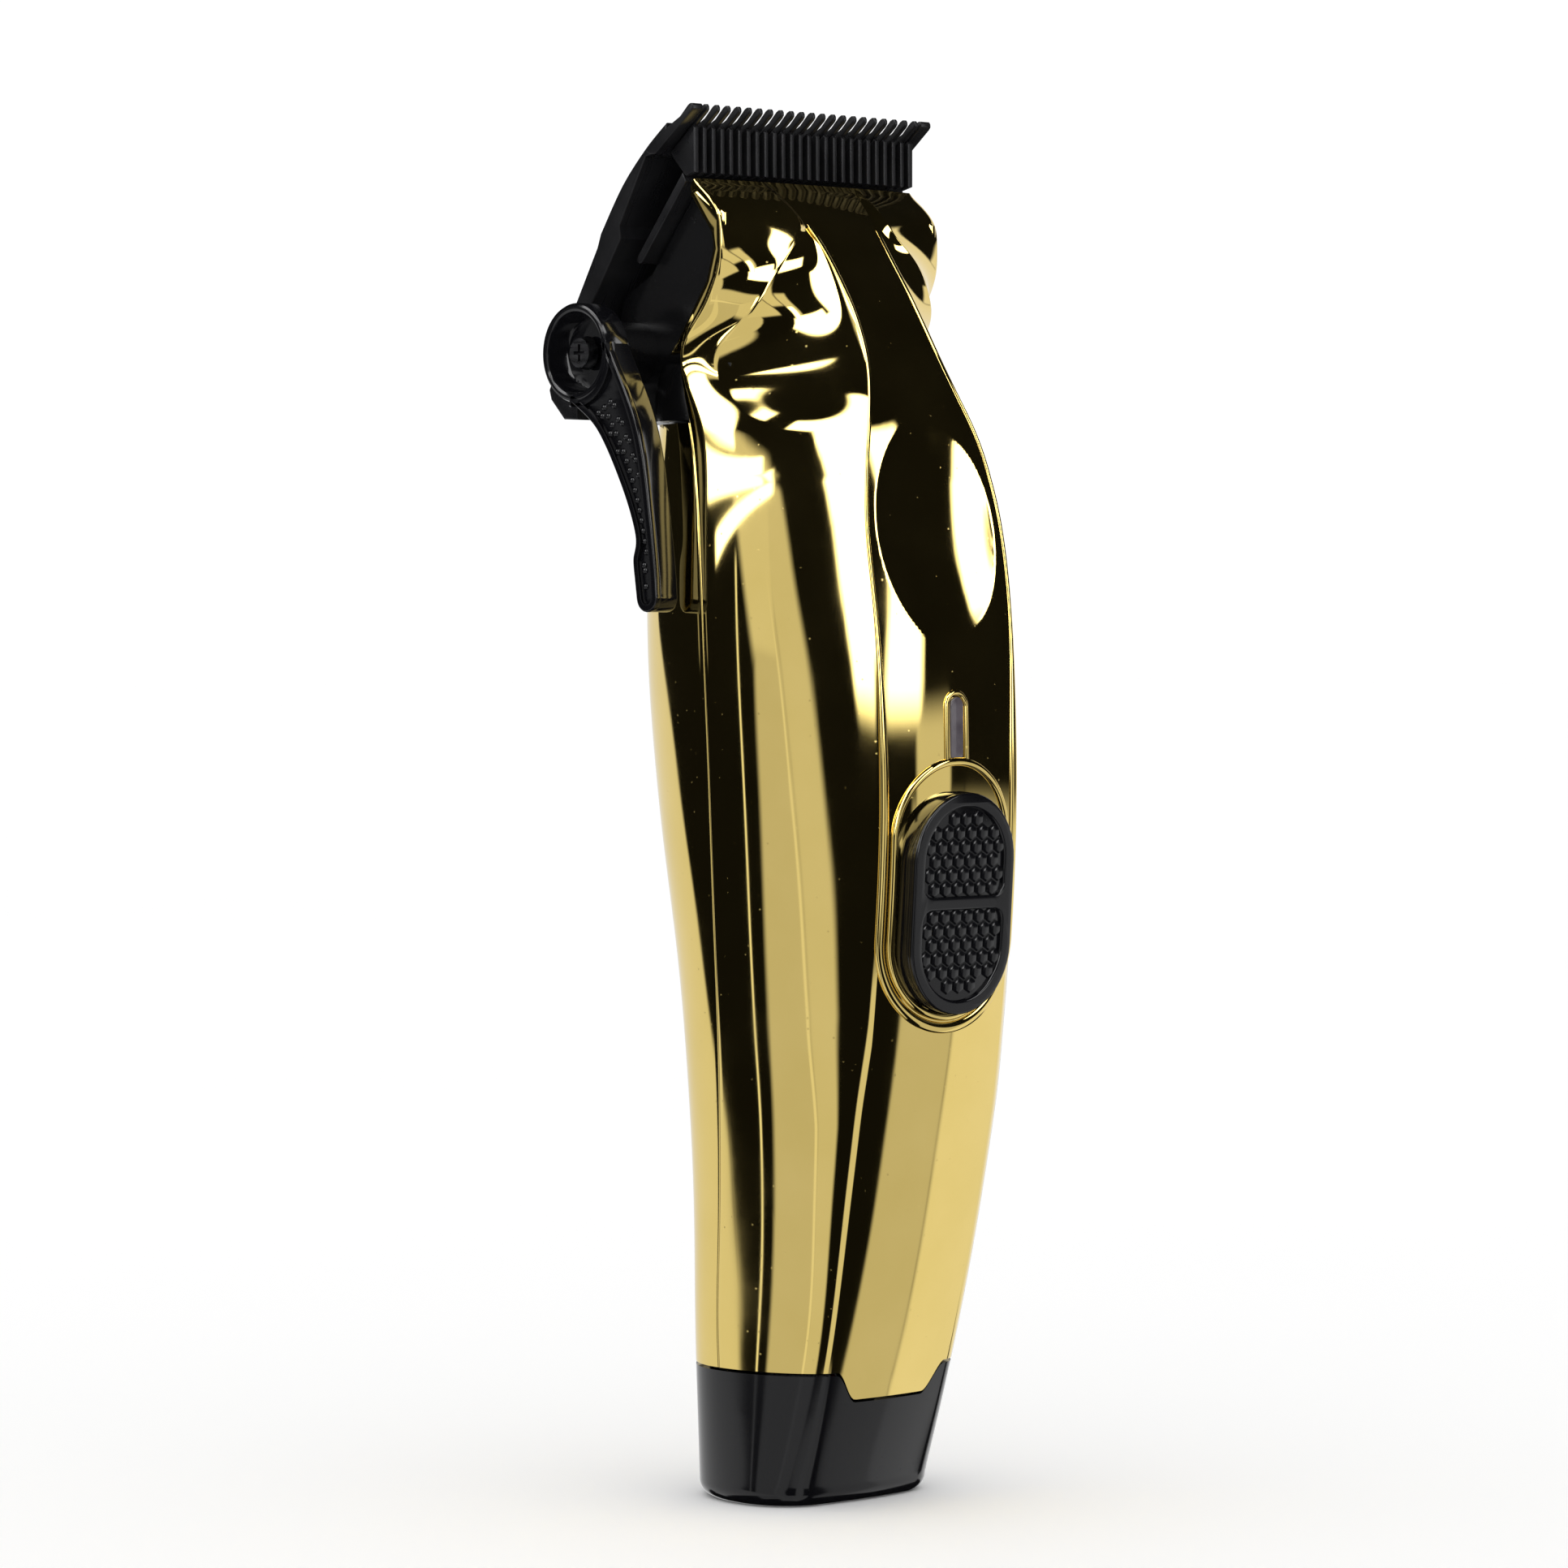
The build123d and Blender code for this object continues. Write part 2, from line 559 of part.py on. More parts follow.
with BuildPart() as head_frame:
    add(profile_solid(cheek, -FRAME_HALF, FRAME_HALF))
    add(frame_collar.part)
    add(frame_foot.part)
    add(box_between((-CHEEK_IN, -30, 138.8), (CHEEK_IN, 13.8, 200)), mode=Mode.SUBTRACT)
    add(box_between((-CHEEK_IN, 8, 141.4), (CHEEK_IN, 40, 200)), mode=Mode.SUBTRACT)
    add(rod((0, MOTOR_Y, 130), (0, MOTOR_Y, 145), 8.2), mode=Mode.SUBTRACT)
    add(rod((BOSS_X, LEVER_Y, LEVER_Z), (-CHEEK_IN, LEVER_Y, LEVER_Z), LEVER_BOSS_R))
    add(rod((-40, LEVER_Y, LEVER_Z), (0, LEVER_Y, LEVER_Z), BUSH_R), mode=Mode.SUBTRACT)
    add(front_shell.part, mode=Mode.SUBTRACT)
    add(back_shell.part, mode=Mode.SUBTRACT)

with BuildPart() as lever_bush:
    with BuildSketch(Plane.YZ.offset(BOSS_X)):
        with Locations((LEVER_Y, LEVER_Z)):
            Circle(BUSH_R)
            Circle(LEVER_SHAFT_R + RUN_CLEARANCE, mode=Mode.SUBTRACT)
    extrude(amount=-CHEEK_IN - BOSS_X)

# ------------------------------------------------------------------ taper lever and its cam
BOSS_R_OUT, DISH_R, DISH_DEPTH = 6.4, 5.3, 2.4
ARM_TIP = 114.9
with BuildPart() as taper_lever:
    with BuildSketch(Plane.YZ.offset(LEVER_OUT)):
        with BuildLine():
            front_edge = Spline(
                (9.6, 150.5), (4.8, 141.4), (2.6, 135.2), (1.1, 126.9), (0.2, 120.7), (-0.1, 116.6)
            )
            tip = ThreePointArc(front_edge @ 1, (1.3, ARM_TIP), (3.4, 116.2))
            back_edge = Spline(
                tip @ 1, (4.4, 121.8), (3.9, 124.9), (6.5, 131.1), (11.3, 138.5), (17.4, 142.4)
            )
            Line(back_edge @ 1, front_edge @ 0)
        make_face()
        with Locations((LEVER_Y, LEVER_Z)):
            Circle(BOSS_R_OUT)
    extrude(amount=LEVER_IN - LEVER_OUT)
    with BuildSketch(Plane.YZ.offset(LEVER_OUT)):
        with Locations((LEVER_Y, LEVER_Z)):
            Circle(DISH_R)
    extrude(amount=DISH_DEPTH, taper=18, mode=Mode.SUBTRACT)
    add(rod((-30, LEVER_Y, LEVER_Z), (0, LEVER_Y, LEVER_Z), 1.3), mode=Mode.SUBTRACT)

with BuildPart() as lever_washer:
    with BuildSketch(Plane.YZ.offset(LEVER_IN + 0.02)):
        with Locations((LEVER_Y, LEVER_Z)):
            Circle(4.4)
            Circle(LEVER_SHAFT_R, mode=Mode.SUBTRACT)
    extrude(amount=0.5)

# The cam pin stands half the swing before the line square to the slide, so that the blade's
# stroke is nearly in proportion to the lever's angle.
half_swing = radians(LEVER_SWING / 2)
CAM_THROW = BLADE_TRAVEL / (2 * sin(half_swing))
CAM_PIN_R = 1.2
cam_y, cam_z = blade_point(-CAM_THROW * cos(half_swing), -CAM_THROW * sin(half_swing))

with BuildPart() as lever_shaft:
    add(rod((LEVER_IN, LEVER_Y, LEVER_Z), (-14.6, LEVER_Y, LEVER_Z), LEVER_SHAFT_R))
    add(rod((-14.6, LEVER_Y, LEVER_Z), (-12.8, LEVER_Y, LEVER_Z), 3.9))
    add(rod((-12.8, cam_y, cam_z), (-9.6, cam_y, cam_z), CAM_PIN_R))
    add(rod((-30, LEVER_Y, LEVER_Z), (-17, LEVER_Y, LEVER_Z), 1.15), mode=Mode.SUBTRACT)

lever_screw = screw((LEVER_OUT + 0.9, LEVER_Y, LEVER_Z), (1, 0, 0), 9.6, 2.2, 1.1, 1.4, 1.1)

# ------------------------------------------------------------------ fixed blade and its carriage
blade_outer = [
    (0.5, 180.0), (3.4, 179.0), (9.3, 174.5), (13.6, 170.8), (18.0, 164.2), (18.7, 162.4),
    (22.9, 155.4), (28.3, 144.2), (27.9, 142.9), (25.3, 140.3), (22.6, 140.2),
]
blade_inner = [
    (22.7, 141.2), (19.7, 155.3), (14.1, 163.4), (14.4, 165.0), (9.3, 173.6), (7.3, 173.8),
    (0.6, 178.95), (0.3, 179.8),
]
tooth_gap = [(-3, 184), (-3, 176.4), (5.4, 173.0), (7.6, 177.4), (3, 184)]
SLOT_COUNT, SLOT_W = 22, 1.05
BLADE_SCREW_X, BLADE_SCREW_S = 9.0, 5.0
blade_normal = (0, cos(radians(BLADE_TILT)), sin(radians(BLADE_TILT)))
inward = tuple(-c for c in blade_normal)


def blade_at(x, normal, along):
    """A point on the blade's slide frame, at x."""
    return (x, *blade_point(normal, along))


with BuildPart() as fixed_blade:
    add(profile_solid(blade_outer + blade_inner, -BLADE_HALF, BLADE_HALF))
    for index in range(SLOT_COUNT):
        middle = (index - (SLOT_COUNT - 1) / 2) * TOOTH_PITCH
        add(profile_solid(tooth_gap, middle - SLOT_W / 2, middle + SLOT_W / 2), mode=Mode.SUBTRACT)
    for x in (-BLADE_SCREW_X, BLADE_SCREW_X):
        low, mid, top = (blade_at(x, n, BLADE_SCREW_S) for n in (2, 9.6, 20))
        add(rod(low, top, 1.7), mode=Mode.SUBTRACT)
        add(rod(mid, top, 2.8), mode=Mode.SUBTRACT)

CARRIAGE_HALF = 12.9
LUG_HALF_W = 2.6
lug_s = -CAM_THROW * sin(half_swing)
with BuildPart() as blade_carriage:
    add(profile_solid(blade_rect(4.0, 6.5, 1.6, 8.2), -CARRIAGE_HALF, CARRIAGE_HALF))
    add(profile_solid(blade_rect(-5.0, 4.4, lug_s - LUG_HALF_W, lug_s + LUG_HALF_W), -12.5, -9.9))
    slot = blade_rect(-3.9, -0.7, lug_s - CAM_PIN_R - 0.15, lug_s + CAM_PIN_R + 0.15)
    add(profile_solid(slot, -14, -8), mode=Mode.SUBTRACT)
    for x in (-BLADE_SCREW_X, BLADE_SCREW_X):
        low, high = (blade_at(x, n, BLADE_SCREW_S) for n in (2, 9))
        add(rod(low, high, 1.2), mode=Mode.SUBTRACT)

with BuildPart() as blade_screws:
    for x in (-BLADE_SCREW_X, BLADE_SCREW_X):
        add(screw(blade_at(x, 11.4, BLADE_SCREW_S), inward, 7.0, 2.6, 1.15, 1.7, 1.4))

blade_guide = profile_solid(blade_rect(6.6, 8.0, 12.4, 19.0), -12, 12)

# ------------------------------------------------------------------ cutter and its drive
cutter_profile = [
    (2.0, 171.3), (2.0, 177.1), (2.5, 177.3), (6.6, 174.15), (4.8, 172.4), blade_point(5.9, 25.0),
    blade_point(5.9, 10.9), blade_point(4.7, 10.9), blade_point(4.7, 24.5), (3.0, 171.3),
]
cutter_gap = [(-1, 179), (-1, 170.8), (2.8, 170.8), (3.2, 172.2), (6.0, 174.0), (2.4, 179)]
CUTTER_SLOTS, CUTTER_SLOT_W = 25, 0.78

with BuildPart() as cutter:
    add(profile_solid(cutter_profile, -CUTTER_HALF, CUTTER_HALF))
    for index in range(CUTTER_SLOTS):
        middle = (index - (CUTTER_SLOTS - 1) / 2) * CUTTER_PITCH
        low, high = middle - CUTTER_SLOT_W / 2, middle + CUTTER_SLOT_W / 2
        add(profile_solid(cutter_gap, low, high), mode=Mode.SUBTRACT)

YOKE_Z0, YOKE_Z1 = 140.8, 144.2
yoke_arm = [
    (7.0, YOKE_Z0), (9.6, YOKE_Z0), (9.6, 156.4), blade_point(4.62, 12.4), blade_point(4.62, 17.0),
    (7.0, 161.5),
]
with BuildPart() as drive_yoke:
    add(box_between((-8.6, -5.6, YOKE_Z0), (8.6, 9.6, YOKE_Z1)))
    add(box_between((-6.1, -9.0, 130), (6.1, 7.4, 150)), mode=Mode.SUBTRACT)
    add(profile_solid(yoke_arm, -4.2, 4.2))

with BuildPart() as tension_spring:
    low, high = (-0.2, 146.6), (3.6, 167.6)
    for sign in (-1, 1):
        points = [
            (0, low[0] + 6.0, low[1] - 0.4), (sign * 5.6, low[0] + 6.0, low[1] - 0.4),
            (sign * 6.6, 3.4, 158.0), (sign * 7.4, high[0], high[1]),
        ]
        add(wire(points, 0.55, 1.4))

# ------------------------------------------------------------------ write every piece
PIECES = {
    "front_shell": front_shell.part,
    "back_shell": back_shell.part,
    "bottom_cap": bottom_cap.part,
    "housing_screws": housing_screws.part,
    "cap_screws": cap_screws.part,
    "charge_socket": charge_socket.part,
    "charge_pin": charge_pin,
    "charge_contacts": charge_contacts.part,
    "chassis": chassis.part,
    "battery_cell": battery_cell.part,
    "battery_tabs": battery_tabs.part,
    "battery_leads": battery_leads.part,
    "control_board": control_board.part,
    "board_components": board_components.part,
    "board_screws": board_screws.part,
    "status_led": status_led,
    "led_lens": led_lens.part,
    "slide_switch_body": slide_switch_body,
    "switch_button": switch_button.part,
    "switch_slider": switch_slider.part,
    "motor_can": motor_can.part,
    "motor_end_cap": motor_end_cap.part,
    "motor_magnets": motor_magnets.part,
    "motor_rotor": motor_rotor.part,
    "motor_shaft": motor_shaft,
    "motor_mount": motor_mount.part,
    "motor_screws": motor_screws.part,
    "motor_damper": motor_damper.part,
    "motor_leads": motor_leads.part,
    "eccentric_cam": eccentric_cam.part,
    "cam_bearing": cam_bearing.part,
    "head_frame": head_frame.part,
    "lever_bush": lever_bush.part,
    "taper_lever": taper_lever.part,
    "lever_washer": lever_washer.part,
    "lever_shaft": lever_shaft.part,
    "lever_screw": lever_screw,
    "fixed_blade": fixed_blade.part,
    "blade_carriage": blade_carriage.part,
    "blade_screws": blade_screws.part,
    "blade_guide": blade_guide,
    "cutter": cutter.part,
    "drive_yoke": drive_yoke.part,
    "tension_spring": tension_spring.part,
}
for piece_name, piece in PIECES.items():
    save(piece_name, piece)
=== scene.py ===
import json
from math import cos, pi, radians, sin

import bmesh
import bpy
import numpy as np
from mathutils import Matrix, Vector


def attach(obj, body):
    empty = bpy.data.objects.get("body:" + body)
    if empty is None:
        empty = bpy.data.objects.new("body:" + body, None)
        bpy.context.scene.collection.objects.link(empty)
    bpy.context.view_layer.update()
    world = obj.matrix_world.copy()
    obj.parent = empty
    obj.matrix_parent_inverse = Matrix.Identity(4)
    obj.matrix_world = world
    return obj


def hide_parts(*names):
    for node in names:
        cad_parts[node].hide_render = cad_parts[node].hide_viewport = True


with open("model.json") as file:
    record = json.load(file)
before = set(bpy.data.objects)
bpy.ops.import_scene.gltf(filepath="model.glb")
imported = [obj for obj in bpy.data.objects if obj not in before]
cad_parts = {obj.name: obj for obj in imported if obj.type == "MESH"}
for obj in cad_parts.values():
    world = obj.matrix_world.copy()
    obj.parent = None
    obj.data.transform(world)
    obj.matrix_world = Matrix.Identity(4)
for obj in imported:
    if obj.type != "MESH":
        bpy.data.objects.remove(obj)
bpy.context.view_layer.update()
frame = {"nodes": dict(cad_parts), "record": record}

MM = 0.001
# Lever: its pivot, and the x of its outer and inner faces.
LEVER_Y, LEVER_Z = 15.7, 148.5
LEVER_OUT, LEVER_IN = -28.0, -24.0
# Heights: the cap's seam and its notch, and the tops of the front and back shells.
SEAM_Z, NOTCH_Z, COVER_TOP, BACK_TOP = 17.6, 13.8, 170.9, 139.6
SEAM_GAP = 0.3
WALL = 1.8
BLADE_TILT = radians(40)
RIM_X = 19.2

# ---------------------------------------------------------------- housing outline, in mm
# One row per height: z, half width, y of the widest point, front y, back y, half width of the
# front panel, crown of the panel, the flank's handle at the panel (x, y) and at its end (x, y).
STATIONS = np.array([
    (0.0, 15.2, 0.0, -9.6, 13.8, 9.2, 0.9, 2.2, 0.9, 0.0, -6.0),
    (18.0, 17.0, 0.0, -15.2, 12.6, 10.2, 1.0, 2.4, 1.0, 0.0, -8.0),
    (40.0, 19.0, -2.5, -20.2, 11.8, 11.0, 1.2, 2.6, 1.1, 0.0, -9.5),
    (65.0, 21.3, -4.5, -24.4, 13.2, 11.4, 1.3, 2.4, 1.2, 0.0, -10.0),
    (92.0, 22.8, -4.7, -26.2, 18.4, 11.4, 1.4, 2.0, 1.2, 0.0, -11.0),
    (112.0, 23.4, -4.2, -25.6, 20.4, 11.9, 1.5, 2.0, 1.5, 0.0, -11.0),
    (126.0, 22.6, -2.5, -23.6, 20.4, 12.2, 1.6, 2.2, 2.2, 0.0, -10.5),
    (136.0, 21.0, 0.0, -21.4, 18.5, 10.2, 0.9, 3.4, 3.4, 0.0, -10.0),
    (142.0, 20.0, 3.0, -19.2, 17.0, 8.0, 0.6, 4.0, 5.0, 0.0, -10.0),
    (148.4, 19.2, 4.9, -16.4, 15.0, 6.3, 0.4, 3.0, 6.5, -0.3, -8.0),
    (154.5, 19.2, -0.2, -13.1, 13.0, 5.7, 0.4, 3.0, 5.0, -1.5, -4.5),
    (160.7, 19.2, -3.0, -8.8, 11.0, 5.6, 0.4, 3.0, 2.0, -4.0, -1.8),
    (165.5, 19.2, -2.9, -4.9, 9.0, 6.2, 0.4, 3.5, 0.3, -5.0, -0.8),
    (COVER_TOP, 19.0, 2.6, 1.4, 7.6, 7.6, 0.2, 3.5, 0.1, -5.0, -0.3),
])
# Ridge between the scoop and the cheek of the head: z, x, y, depth of the scoop.
RIDGE = np.array([
    (136.0, 19.6, 1.0, 0.0),
    (142.0, 19.2, 2.2, 0.2),
    (148.4, 18.1, 0.0, 0.8),
    (154.5, 15.6, -5.8, 1.2),
    (160.7, 11.6, -7.0, 0.9),
    (165.0, 7.8, -5.8, 0.3),
    (COVER_TOP, 8.6, 1.6, 0.0),
])
BACK_HANDLE = 0.62
# Thumb recess: height of its middle, half width, half height, depth, rounding of its floor.
THUMB_Z, THUMB_W, THUMB_H, THUMB_DEPTH, THUMB_ROUNDING = 125.4, 10.4, 14.0, 2.4, 0.0009
# Share of the flank taken by the scoop; the rest is the cheek.
RIDGE_T = 0.66
# Handles of the scoop's curve: share of the way to the ridge, and times the scoop's depth.
SCOOP_WALL, SCOOP_SLOPE = (0.10, 1.5), (0.55, 0.7)
CHEEK_HOLLOW = 0.9
# Heights over which the body's flank turns into the head's scoop and cheek.
HEAD_BLEND = (138, 151)
# Heights over which the panel's corner sharpens from the round foot.
CORNER_BLEND = (50, 64)


def smoothstep(low, high, x):
    """0 below low, 1 above high, smooth between."""
    t = np.clip((x - low) / (high - low), 0, 1)
    return t * t * (3 - 2 * t)


def pchip(x, y, q):
    """Monotone cubic through the rows of y at x, read at q."""
    h = np.diff(x)[:, None]
    slope = np.diff(y, axis=0) / h
    tangent = np.zeros_like(y)
    w1, w2 = 2 * h[1:] + h[:-1], h[1:] + 2 * h[:-1]
    with np.errstate(divide="ignore", invalid="ignore"):
        mean = (w1 + w2) / (w1 / slope[:-1] + w2 / slope[1:])
    tangent[1:-1] = np.where(slope[:-1] * slope[1:] > 0, mean, 0)
    tangent[0], tangent[-1] = slope[0], slope[-1]
    i = np.clip(np.searchsorted(x, q, side="right") - 1, 0, len(x) - 2)
    step = (x[i + 1] - x[i])[:, None]
    t = ((q - x[i]) / (x[i + 1] - x[i]))[:, None]
    near = (1 + 2 * t) * (1 - t) ** 2 * y[i] + t * (1 - t) ** 2 * step * tangent[i]
    far = t * t * (3 - 2 * t) * y[i + 1] + t * t * (t - 1) * step * tangent[i + 1]
    return near + far


GRID_Z = np.arange(0, COVER_TOP + 0.01, 0.4)


def smoothing_width(z):
    """Reach of the smoothing at a height: less towards the head, and little at either end."""
    body = max(1.1, 5.0 - (z - 132) * 0.3)
    top = max(0.4, 0.35 * (COVER_TOP + 0.2 - z))
    return min(5.0, body, 0.35 * (z + 2), top)


def smooth_table(rows):
    """The rows interpolated over height, then smoothed so that reflections run without kinks."""
    raw = pchip(rows[:, 0], rows[:, 1:], np.clip(GRID_Z, rows[0, 0], rows[-1, 0]))
    table = np.empty_like(raw)
    for row, z in enumerate(GRID_Z):
        weight = np.exp(-0.5 * ((GRID_Z - z) / smoothing_width(z)) ** 2)
        table[row] = weight @ raw / weight.sum()
    return table


STATION_TABLE = smooth_table(STATIONS)
RIDGE_TABLE = smooth_table(RIDGE)


def read_table(table, z):
    """The table's columns at the heights z."""
    z = np.clip(z, 0, GRID_Z[-1])
    return [np.interp(z, GRID_Z, table[:, column]) for column in range(table.shape[1])]


def bezier(p0, p1, p2, p3, t):
    """Cubic Bezier; points are (..., 2), t broadcasts over them."""
    t = t[..., None]
    return (1 - t) ** 3 * p0 + 3 * (1 - t) ** 2 * t * p1 + 3 * (1 - t) * t * t * p2 + t ** 3 * p3


def pair(x, y):
    return np.stack([x, y], axis=-1)


def front_point(s, z):
    """(x, y) on the right half of the front: s 0 to 1 over the panel, 1 to 2 over the flank."""
    half, side_y, front, _, panel, crown, c1x, c1y, c2x, c2y = read_table(STATION_TABLE, z)
    tight = smoothstep(*CORNER_BLEND, z)
    c1y = c1y * tight + (1 - tight) * 2 * crown / panel * c1x
    t = np.clip(s, 0, 1)
    x = panel * t
    thumb = 1 - (x / THUMB_W) ** 2 - ((z - THUMB_Z) / THUMB_H) ** 2
    dent = THUMB_DEPTH * np.sqrt(thumb.clip(0) ** 2 + THUMB_ROUNDING) * (thumb > -0.1)
    face = pair(x, front + crown * t * t + dent * smoothstep(-0.03, 0.05, thumb))
    corner, end = pair(panel, front + crown), pair(half, side_y)
    t = np.clip(s - 1, 0, 1)
    bulge = bezier(corner, corner + pair(c1x, c1y), end + pair(c2x, c2y), end, t)
    ridge_x, ridge_y, depth = read_table(RIDGE_TABLE, z)
    ridge = pair(ridge_x, ridge_y)
    chord = ridge - corner
    inward = pair(-chord[..., 1], chord[..., 0]) / np.linalg.norm(chord, axis=-1)[..., None]
    wall, slope = [
        corner + share * chord + inward * (times * depth)[..., None]
        for share, times in (SCOOP_WALL, SCOOP_SLOPE)
    ]
    a = np.clip(t / RIDGE_T, 0, 1)[..., None]
    b = np.clip((t - RIDGE_T) / (1 - RIDGE_T), 0, 1)[..., None]
    scoop = bezier(corner, wall, slope, ridge, a[..., 0])
    cheek = (1 - b) * ridge + b * end + inward * (CHEEK_HOLLOW * b * (1 - b)) * depth[..., None]
    headed = np.where(t[..., None] < RIDGE_T, scoop, cheek)
    blend = smoothstep(*HEAD_BLEND, z)[..., None]
    flank = (1 - blend) * bulge + blend * headed
    return np.where(s[..., None] <= 1, face, flank)


def back_point(s, z):
    """(x, y) on the right half of the back: s 0 at the side, 1 at the middle of the palm side."""
    half, side_y, _, back = read_table(STATION_TABLE, z)[:4]
    depth = BACK_HANDLE * (back - side_y)
    side, middle = pair(half, side_y), pair(0 * back, back)
    return bezier(side, pair(half, side_y + depth), pair(BACK_HANDLE * half, back), middle, s)


NOTCH_HALF, NOTCH_SLOPE = 9.6, 3.7


def seam_height(x, y, gap):
    """Height of an edge, gap above the cap's seam, which is lower in the notch at the front."""
    dip = np.clip((NOTCH_HALF - np.abs(x)) / NOTCH_SLOPE, 0, 1) * (y < 0)
    return SEAM_Z - (SEAM_Z - NOTCH_Z) * smoothstep(0, 1, dip) + gap


# ---------------------------------------------------------------- mesh helpers
def add_object(name, data):
    """An object around its data, in the scene."""
    obj = bpy.data.objects.new(name, data)
    bpy.context.scene.collection.objects.link(obj)
    return obj


def new_object(name, verts, faces, flat_angle=None):
    """An object from vertices in mm."""
    mesh = bpy.data.meshes.new(name)
    mesh.from_pydata([tuple(float(c) * MM for c in v) for v in verts], [], faces)
    mesh.validate()
    fix_normals(mesh)
    obj = add_object(name, mesh)
    shade(obj, flat_angle)
    return obj


def fix_normals(mesh):
    """Merge doubled vertices and turn the faces outwards."""
    work = bmesh.new()
    work.from_mesh(mesh)
    bmesh.ops.remove_doubles(work, verts=work.verts, dist=2e-6)
    bmesh.ops.dissolve_degenerate(work, edges=work.edges, dist=1e-7)
    bmesh.ops.recalc_face_normals(work, faces=work.faces)
    work.to_mesh(mesh)
    work.free()


def shade(obj, flat_angle=None):
    """Smooth shading, with edges sharper than flat_angle degrees left crisp."""
    for polygon in obj.data.polygons:
        polygon.use_smooth = True
    if flat_angle is not None:
        obj.data.set_sharp_from_angle(angle=radians(flat_angle))


def grid_faces(rows, columns, wrap=False):
    """Quads of a grid of vertices, closed round its columns if wrap is set."""
    faces = []
    last = columns if wrap else columns - 1
    for i in range(rows - 1):
        for j in range(last):
            k = (j + 1) % columns
            faces.append((i * columns + j, i * columns + k, (i + 1) * columns + k, (i + 1) * columns + j))
    return faces


def grid_normals(points):
    """Unit normals of a (rows, columns, 3) grid, by differences along both ways."""
    normal = np.cross(np.gradient(points, axis=1), np.gradient(points, axis=0))
    return normal / np.maximum(np.linalg.norm(normal, axis=-1, keepdims=True), 1e-9)


LIP_RADIUS, LIP_ANGLES = 0.3, (30, 60, 90)


def shell_from_grid(name, points, wall):
    """A closed wall from an outer grid: rounded lips along its two sides, and an inner skin."""
    width = points.shape[1]
    normal = grid_normals(points)
    middle = points.mean(axis=(0, 1))
    if np.sum((points[len(points) // 2, 0] - middle) * normal[len(points) // 2, 0]) < 0:
        normal = -normal
    inner = points - normal * wall

    def rounded(edge, beside, out):
        away = edge - beside
        away /= np.maximum(np.linalg.norm(away, axis=-1, keepdims=True), 1e-9)
        turns = [radians(angle) for angle in LIP_ANGLES]
        return [edge + away * LIP_RADIUS * sin(a) - out * LIP_RADIUS * (1 - cos(a)) for a in turns]

    left = rounded(points[:, 0], points[:, 1], normal[:, 0])
    right = rounded(points[:, -1], points[:, -2], normal[:, -1])
    ring = [*reversed(left), *np.moveaxis(points, 1, 0), *right, *np.moveaxis(inner[:, ::-1], 1, 0)]
    ring = np.stack(ring, axis=1)
    rows, columns = ring.shape[:2]
    lips = len(LIP_ANGLES)
    outer_count = width + 2 * lips

    def facing(j):
        """Column of the inner skin behind column j of the outer skin and its lips."""
        return outer_count + width - 1 - min(max(j - lips, 0), width - 1)

    verts = ring.reshape(-1, 3)
    faces = grid_faces(rows, columns, wrap=True)
    for base in (0, (rows - 1) * columns):
        for j in range(outer_count - 1):
            a, b = facing(j), facing(j + 1)
            if a == b:
                faces.append((base + j, base + j + 1, base + a))
            else:
                faces.append((base + j, base + j + 1, base + b, base + a))
    return new_object(name, verts, faces, flat_angle=50)


def plate(name, outlines, low, high, bevel, at, steps=2):
    """A plate from closed 2-D outlines (the later ones are holes), between two heights, bevelled."""
    curve = bpy.data.curves.new(name, "CURVE")
    curve.dimensions = "2D"
    curve.fill_mode = "BOTH"
    curve.extrude = max((high - low) / 2 - bevel, 1e-4)
    curve.bevel_depth = bevel
    curve.offset = -bevel
    curve.bevel_resolution = steps
    for outline in outlines:
        spline = curve.splines.new("POLY")
        spline.points.add(len(outline) - 1)
        for point, (a, b) in zip(spline.points, outline):
            point.co = (a, b, 0, 1)
        spline.use_cyclic_u = True
    holder = add_object(name, curve)
    depsgraph = bpy.context.evaluated_depsgraph_get()
    mesh = bpy.data.meshes.new_from_object(holder.evaluated_get(depsgraph))
    bpy.data.objects.remove(holder)
    bpy.data.curves.remove(curve)
    mesh.transform(Matrix.Scale(MM, 4) @ at @ Matrix.Translation((0, 0, (low + high) / 2)))
    fix_normals(mesh)
    mesh.name = name
    obj = add_object(name, mesh)
    shade(obj, flat_angle=35)
    return obj


def join(name, pieces):
    """Several mesh objects as one."""
    work = bmesh.new()
    for piece in pieces:
        work.from_mesh(piece.data)
        bpy.data.objects.remove(piece)
    mesh = bpy.data.meshes.new(name)
    work.to_mesh(mesh)
    work.free()
    return add_object(name, mesh)


def lathe(name, profile, at, count):
    """A solid of revolution from (radius, height) points, about the Z of at."""
    turn = np.linspace(0, 2 * pi, count, endpoint=False)
    rings = [[(r * cos(a), r * sin(a), h) for a in turn] for r, h in profile]
    verts = [at @ Vector(v) for ring in rings for v in ring]
    faces = grid_faces(len(profile), count, wrap=True)
    faces.append(tuple(range(count)))
    faces.append(tuple((len(profile) - 1) * count + j for j in range(count)))
    return new_object(name, verts, faces, flat_angle=35)


